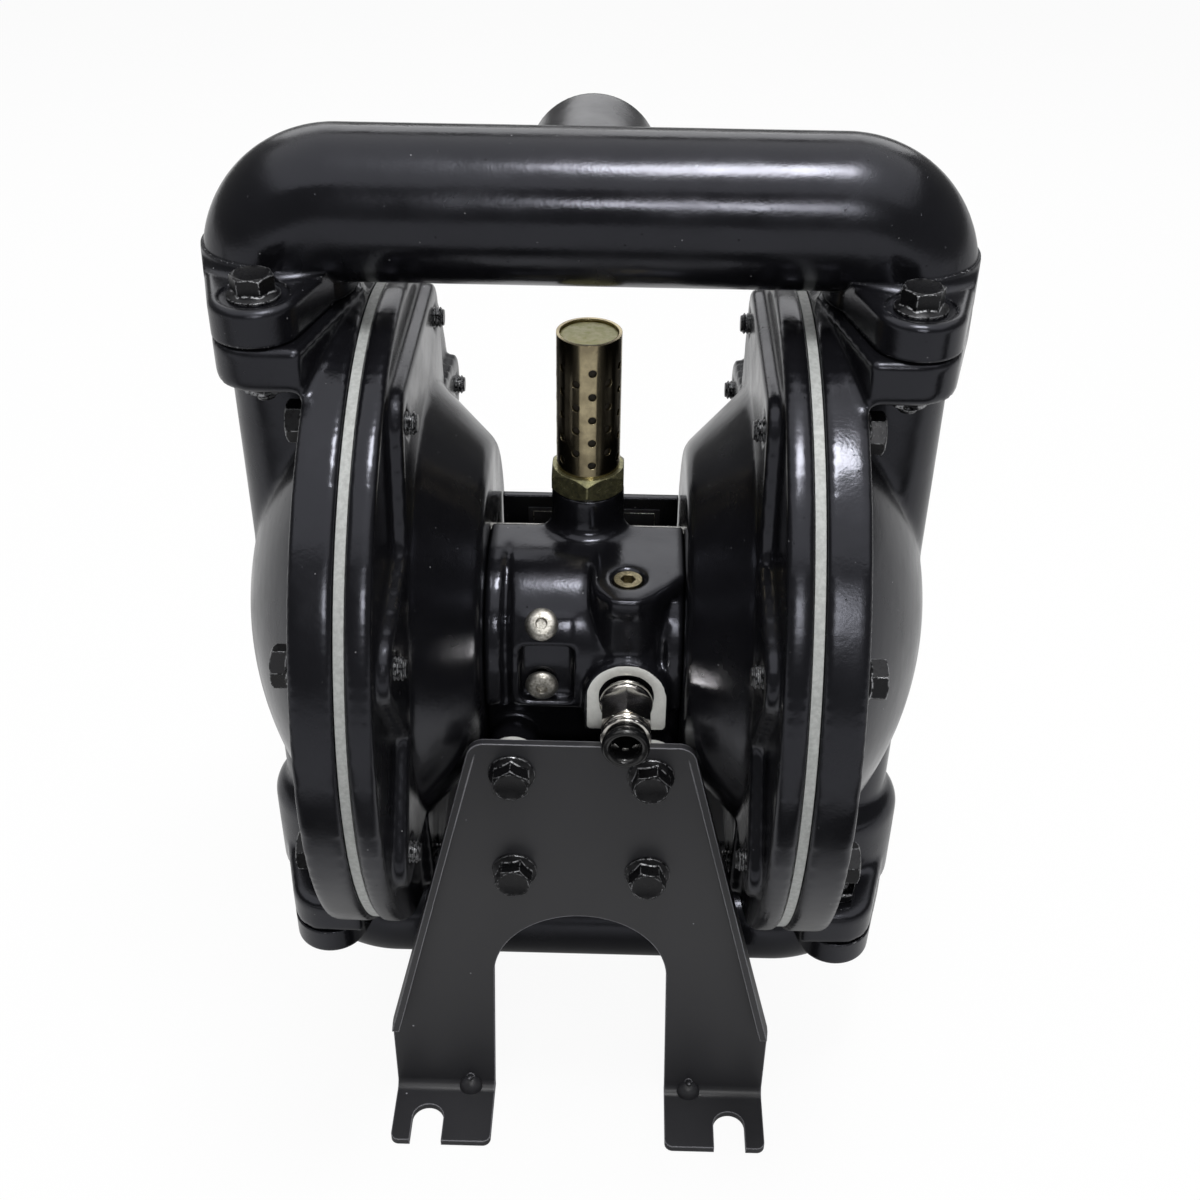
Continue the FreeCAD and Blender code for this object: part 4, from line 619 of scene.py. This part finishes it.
def port_threads(material):
    """Pipe threads inside the two ports, 11 turns to the inch."""
    ridges = []
    for turn in range(8):
        start = -21.0 + turn * PIPE_PITCH
        ridges += [(PIPE_GROOVE_R, start), (PIPE_CREST_R, start + 1.1)]
    profile = [(15.15, -22.0)] + ridges + [(PIPE_GROOVE_R, -1.6), (15.15, -1.0)]
    for name, height in (("outlet", MANIFOLD_HEIGHT), ("inlet", -MANIFOLD_HEIGHT - INLET_DROP)):
        form = bmesh.new()
        turned(form, profile, 64)
        row = copies(form, [((0, PORT_FACE_Y, height), (0, 1, 0), 0)])
        piece = finished(name + "_port_thread", row, "pump_body", None, material, 20)
        piece.data.flip_normals()


def at_air_inlet(form, turn):
    """A form put on the air inlet face, turned about its own axis by degrees."""
    return copies(form, [((INLET_X, -INLET_FACE_Y, INLET_Z), (0, -1, 0), turn)])


def air_fitting(nickel):
    """Push-in fitting: seal ring, collar, hexagon with a corner up, and the ringed sleeve of the collet."""
    form = bmesh.new()
    outer = hexagonal(form, FITTING_FLAT, 6.0, 19.4, 9.6)
    made = bmesh.ops.extrude_edge_only(form, edges=edges_between(form, outer))["geom"]
    bmesh.ops.scale(form, vec=(0.8, 0.8, 1), verts=new_corners(made))
    turned(form, [
        (5.2, -10.0), (7.4, -10.0), (7.6, -9.0), (7.6, -0.5), (8.8, 0.0), (9.2, 0.5), (9.2, 1.5), (8.8, 1.9),
        (8.2, 2.1), (9.2, 2.5), (9.8, 3.0), (9.9, 4.6), (9.4, 5.4), (8.4, 5.9), (8.2, 6.3), (6.0, 6.3),
    ])
    turned(form, [
        (6.5, 19.3), (7.8, 19.3), (8.4, 19.6), (9.0, 20.1), (9.1, 20.7), (8.8, 21.2), (8.2, 21.5),
        (8.2, 21.8), (8.9, 22.1), (9.3, 22.6), (9.3, 23.5), (9.0, 24.1), (8.2, 24.4), (7.7, 24.5),
        (7.7, 12.5), (5.2, 12.5), (5.2, -10.0),
    ])
    row = at_air_inlet(form, 30)
    finished("air_fitting_body", row, "pump_body", "air_fitting", nickel, 40)


def release_collet(black):
    """Release ring with a rounded lip, and the sleeve behind it."""
    form = bmesh.new()
    turned(form, [
        (5.1, 14.5), (7.4, 14.5), (7.4, 26.2), (7.8, 26.3), (8.4, 26.7), (8.7, 27.3), (8.7, 28.8),
        (8.4, 29.5), (7.9, 29.9), (7.3, 30.0), (6.4, 29.7), (5.7, 29.0), (5.3, 28.0), (5.1, 26.8),
        (5.1, 14.5),
    ], 48)
    row = at_air_inlet(form, 0)
    finished("release_ring", row, "collet_body", "release_collet", black, 40)


def gripping_teeth(steel):
    """Thin spring fingers that bite the air tube, just inside the release ring."""
    form = bmesh.new()
    teeth = 8
    for index in range(teeth):
        turn = Matrix.Rotation(math.tau * index / teeth, 3, "Z")
        made = bmesh.ops.create_cube(form, size=1.0)["verts"]
        bmesh.ops.scale(form, vec=(0.9 * MM, 2.4 * MM, 0.3 * MM), verts=made)
        bmesh.ops.translate(form, vec=(4.85 * MM, 0, 23.5 * MM), verts=made)
        bmesh.ops.rotate(form, matrix=turn, verts=made)
    bmesh.ops.bevel(
        form, geom=form.edges[:], offset=0.1 * MM, affect="EDGES", segments=1, profile=0.5, material=-1)
    row = at_air_inlet(form, 0)
    finished("gripping_teeth", row, "collet_body", None, steel)


def dress_frame():
    """Gives every piece its finish and replaces what needs a finer form."""
    casting = painted_casting("gloss_black_painted_casting", 1.4)
    body_paint = painted_casting("gloss_black_body_with_bare_inlet_face", 0.6, INLET_FACE_Y)
    sheet = powder_coated_sheet()
    bolts = black_zinc_steel()
    # turned stainless steel is bright with a soft shine, and nickel plating is brighter and smoother
    stainless = bright_metal("stainless_steel", "#D6D5D2", "#9E9C98", 0.22, 2.0)
    nickel = bright_metal("nickel_plated_brass", "#DEDBD6", "#BDB9B2", 0.12, 4.0)
    give(CASTINGS, casting)
    soften("centre_body", body_paint, 1.1, 8)
    for name in CAPS:
        soften(name, casting, 1.5, 5)
    bend_ribs(sheet)
    give(SHEET_PARTS, sheet)
    give(TURNED_STEEL, stainless)
    # machined aluminium is satin and even; the plate is anodised dark
    give(BARE_ALUMINIUM, bright_metal("machined_aluminium", "#D2D3D5", "#B9BABD", 0.35, 5.0))
    plate = bright_metal("anodised_aluminium_plate", "#3C3C3F", "#343437", 0.3, 6.0, 0.6)
    give(("bare_plate",), plate)
    # the plug's brass is dull and stained
    give(("passage_plug",), bright_metal("brass", "#9C9378", "#6B634C", 0.3, 1.2))
    # yellow chromate over zinc: brown and olive, blotched, with a hard shine on the rolled shell
    chromated = bright_metal("yellow_chromated_hexagon", "#8D8A66", "#5E5C46", 0.24, 2.0, 0.8)
    give(("muffler_hex",), chromated)
    give(("muffler_shell",), bright_metal("yellow_chromated_zinc", "#B3A788", "#8C8168", 0.15, 7.0))
    # the disc's olive enamel is painted pale cream, much paler than its own colour: painted light
    give(("muffler_disc",), moulded("olive_enamel_painted_light", "#F6EFC0", "#DCD890", 0.4, 3.0))
    # the cut edge of the membranes is grey and slightly frayed
    membrane = moulded("ptfe_faced_membrane", "#ABADAB", "#979997", 0.5, 1.6)
    give(("left_diaphragm", "right_diaphragm"), membrane)
    # turned white plastic balls, matt rubber seals and cream bushes
    give(BALLS, moulded("ptfe", "#E8E8E4", "#DCDCD8", 0.35, 6.0))
    give(SEALS, moulded("nitrile_rubber", "#101011", "#181819", 0.6, 3.0))
    give(("left_bush", "right_bush"), moulded("acetal", "#B8B39E", "#A29D88", 0.5, 4.0))
    # sintered bronze is dark and granular behind the holes of the shell
    give(("muffler_element",), moulded("sintered_bronze", "#2B261E", "#1B1814", 0.7, 1.0))
    flange_bolts(1, "right", bolts)
    flange_bolts(-1, "left", bolts)
    manifold_bolts(bolts)
    bracket_bolts(bolts)
    cover_screws(stainless)
    # zinc plating that has gone patchy and matt
    button_screws(bright_metal("zinc_plated_steel", "#CFCCC5", "#8A877F", 0.34, 1.1))
    plate_border(stainless)
    port_threads(casting)
    air_fitting(nickel)
    release_collet(moulded("black_acetal", "#0C0C0D", "#131314", 0.22, 3.0))
    gripping_teeth(stainless)


def white_paper():
    """Paper that the camera sees white. Reflections see it a little dimmer, with shade painted into them:
    a painted dark band across the front, and a painted shadow under the pump."""
    material = new_material("white_paper")
    tree = material.node_tree
    ray = add(tree, "ShaderNodeLightPath")
    place = add(tree, "ShaderNodeTexCoord").outputs["Object"]

    # how bright a reflection of the paper is, from nearly 0 in the painted dark band to 0.75
    depth = add(tree, "ShaderNodeSeparateXYZ", {"Vector": place})
    # painted shade: reflections of the paper go dark in a band across the front
    ahead = add(tree, "ShaderNodeMath", {0: depth.outputs["Y"], 1: -PAINTED_SHADE_BAND_Y}, operation="ADD")
    away = add(tree, "ShaderNodeMath", {0: ahead.outputs[0]}, operation="ABSOLUTE")
    band = add(tree, "ShaderNodeMapRange", {
        "Value": away.outputs[0], "From Min": 0.05, "From Max": 0.14, "To Min": 0.05, "To Max": 0.75})
    # painted shadow under the pump: reflections of the paper fall to a fifth within about 8 cm of the middle
    reach = add(tree, "ShaderNodeVectorMath", {0: place}, operation="LENGTH")
    under = add(tree, "ShaderNodeMapRange", {
        "Value": reach.outputs["Value"], "From Min": 0.08, "From Max": 0.19, "To Min": 0.2, "To Max": 1.0})
    shadow = add(tree, "ShaderNodeMath", {
        0: band.outputs["Result"], 1: under.outputs["Result"]}, operation="MULTIPLY")
    gloss = add(tree, "ShaderNodeMath", {
        0: ray.outputs["Is Glossy Ray"], 1: shadow.outputs[0]}, operation="MULTIPLY")

    # what the camera sees is mostly plain white, and a little real paper with its soft shadow
    white = add(tree, "ShaderNodeMath", {
        0: ray.outputs["Is Camera Ray"], 1: ray.outputs["Is Transmission Ray"]}, operation="MAXIMUM")
    plain = add(tree, "ShaderNodeMath", {0: white.outputs[0], 1: 0.94}, operation="MULTIPLY")
    share = add(tree, "ShaderNodeMath", {
        0: ray.outputs["Is Glossy Ray"], 1: plain.outputs[0]}, operation="MAXIMUM")
    light = add(tree, "ShaderNodeMath", {0: white.outputs[0], 1: gloss.outputs[0]}, operation="MAXIMUM")
    paper = add(tree, "ShaderNodeBsdfDiffuse", {"Color": colour("#F2F2F2")})
    glow = add(tree, "ShaderNodeEmission", {"Color": (1, 1, 1, 1), "Strength": light.outputs[0]})
    both = add(tree, "ShaderNodeMixShader", {0: share.outputs[0], 1: paper.outputs[0], 2: glow.outputs[0]})
    add(tree, "ShaderNodeOutputMaterial", {"Surface": both.outputs[0]})
    return material


def floor():
    """Square of paper, half a millimetre under the feet."""
    form = bmesh.new()
    bmesh.ops.create_grid(form, x_segments=1, y_segments=1, size=FLOOR_HALF)
    bmesh.ops.translate(form, vec=(0, 0, -0.5 * MM), verts=form.verts[:])
    mesh = bpy.data.meshes.new("floor")
    form.to_mesh(mesh)
    form.free()
    mesh.materials.append(white_paper())
    paper = bpy.data.objects.new("floor", mesh)
    bpy.context.scene.collection.objects.link(paper)


def dim_room():
    """White behind the floor for the camera, and a dim room for the pump."""
    world = bpy.data.worlds.new("dim_room")
    bpy.context.scene.world = world
    world.use_nodes = True
    tree = world.node_tree
    tree.nodes.clear()
    ray = add(tree, "ShaderNodeLightPath")
    room = add(tree, "ShaderNodeBackground", {"Color": (1, 1, 1, 1), "Strength": ROOM_LIGHT})
    white = add(tree, "ShaderNodeBackground", {"Color": (1, 1, 1, 1), "Strength": 1.0})
    both = add(tree, "ShaderNodeMixShader", {
        0: ray.outputs["Is Camera Ray"], 1: room.outputs[0], 2: white.outputs[0]})
    add(tree, "ShaderNodeOutputWorld", {"Surface": both.outputs[0]})


def soft_box(name, place, width, height, power):
    """Area lamp that faces the pump and isn't seen itself."""
    lamp = bpy.data.lights.new(name, "AREA")
    lamp.shape = "RECTANGLE"
    lamp.size = width
    lamp.size_y = height
    lamp.energy = power
    made = bpy.data.objects.new(name, lamp)
    made.visible_camera = False
    target = Vector((0, 0, AXIS_HEIGHT * MM))
    made.location = place
    made.rotation_euler = (target - Vector(place)).to_track_quat("-Z", "Y").to_euler()
    bpy.context.scene.collection.objects.link(made)


def camera():
    """The camera where the photograph was taken from: yaw turns it right, pitch down and roll sideways."""
    yaw = math.radians(EYE_YAW)
    pitch = math.radians(EYE_PITCH)
    roll = math.radians(EYE_ROLL)
    ahead = Vector((math.sin(yaw) * math.cos(pitch), math.cos(yaw) * math.cos(pitch), -math.sin(pitch)))
    level = Vector((math.cos(yaw), -math.sin(yaw), 0))
    upright = level.cross(ahead)
    right = level * math.cos(roll) + upright * math.sin(roll)
    up = upright * math.cos(roll) - level * math.sin(roll)
    lens = bpy.data.cameras.new("camera")
    lens.lens = FOCAL_LENGTH
    lens.sensor_width = SENSOR
    lens.sensor_fit = "HORIZONTAL"
    lens.clip_start = 0.01
    eye = bpy.data.objects.new("camera", lens)
    turn = Matrix((right, up, -ahead)).transposed().to_4x4()
    eye.matrix_world = Matrix.Translation((EYE + Vector((0, 0, AXIS_HEIGHT))) * MM) @ turn
    bpy.context.scene.collection.objects.link(eye)
    bpy.context.scene.camera = eye


dress_frame()
floor()
dim_room()
for lamp in LAMPS:
    soft_box(*lamp)
camera()
bpy.context.scene.view_settings.view_transform = "Standard"
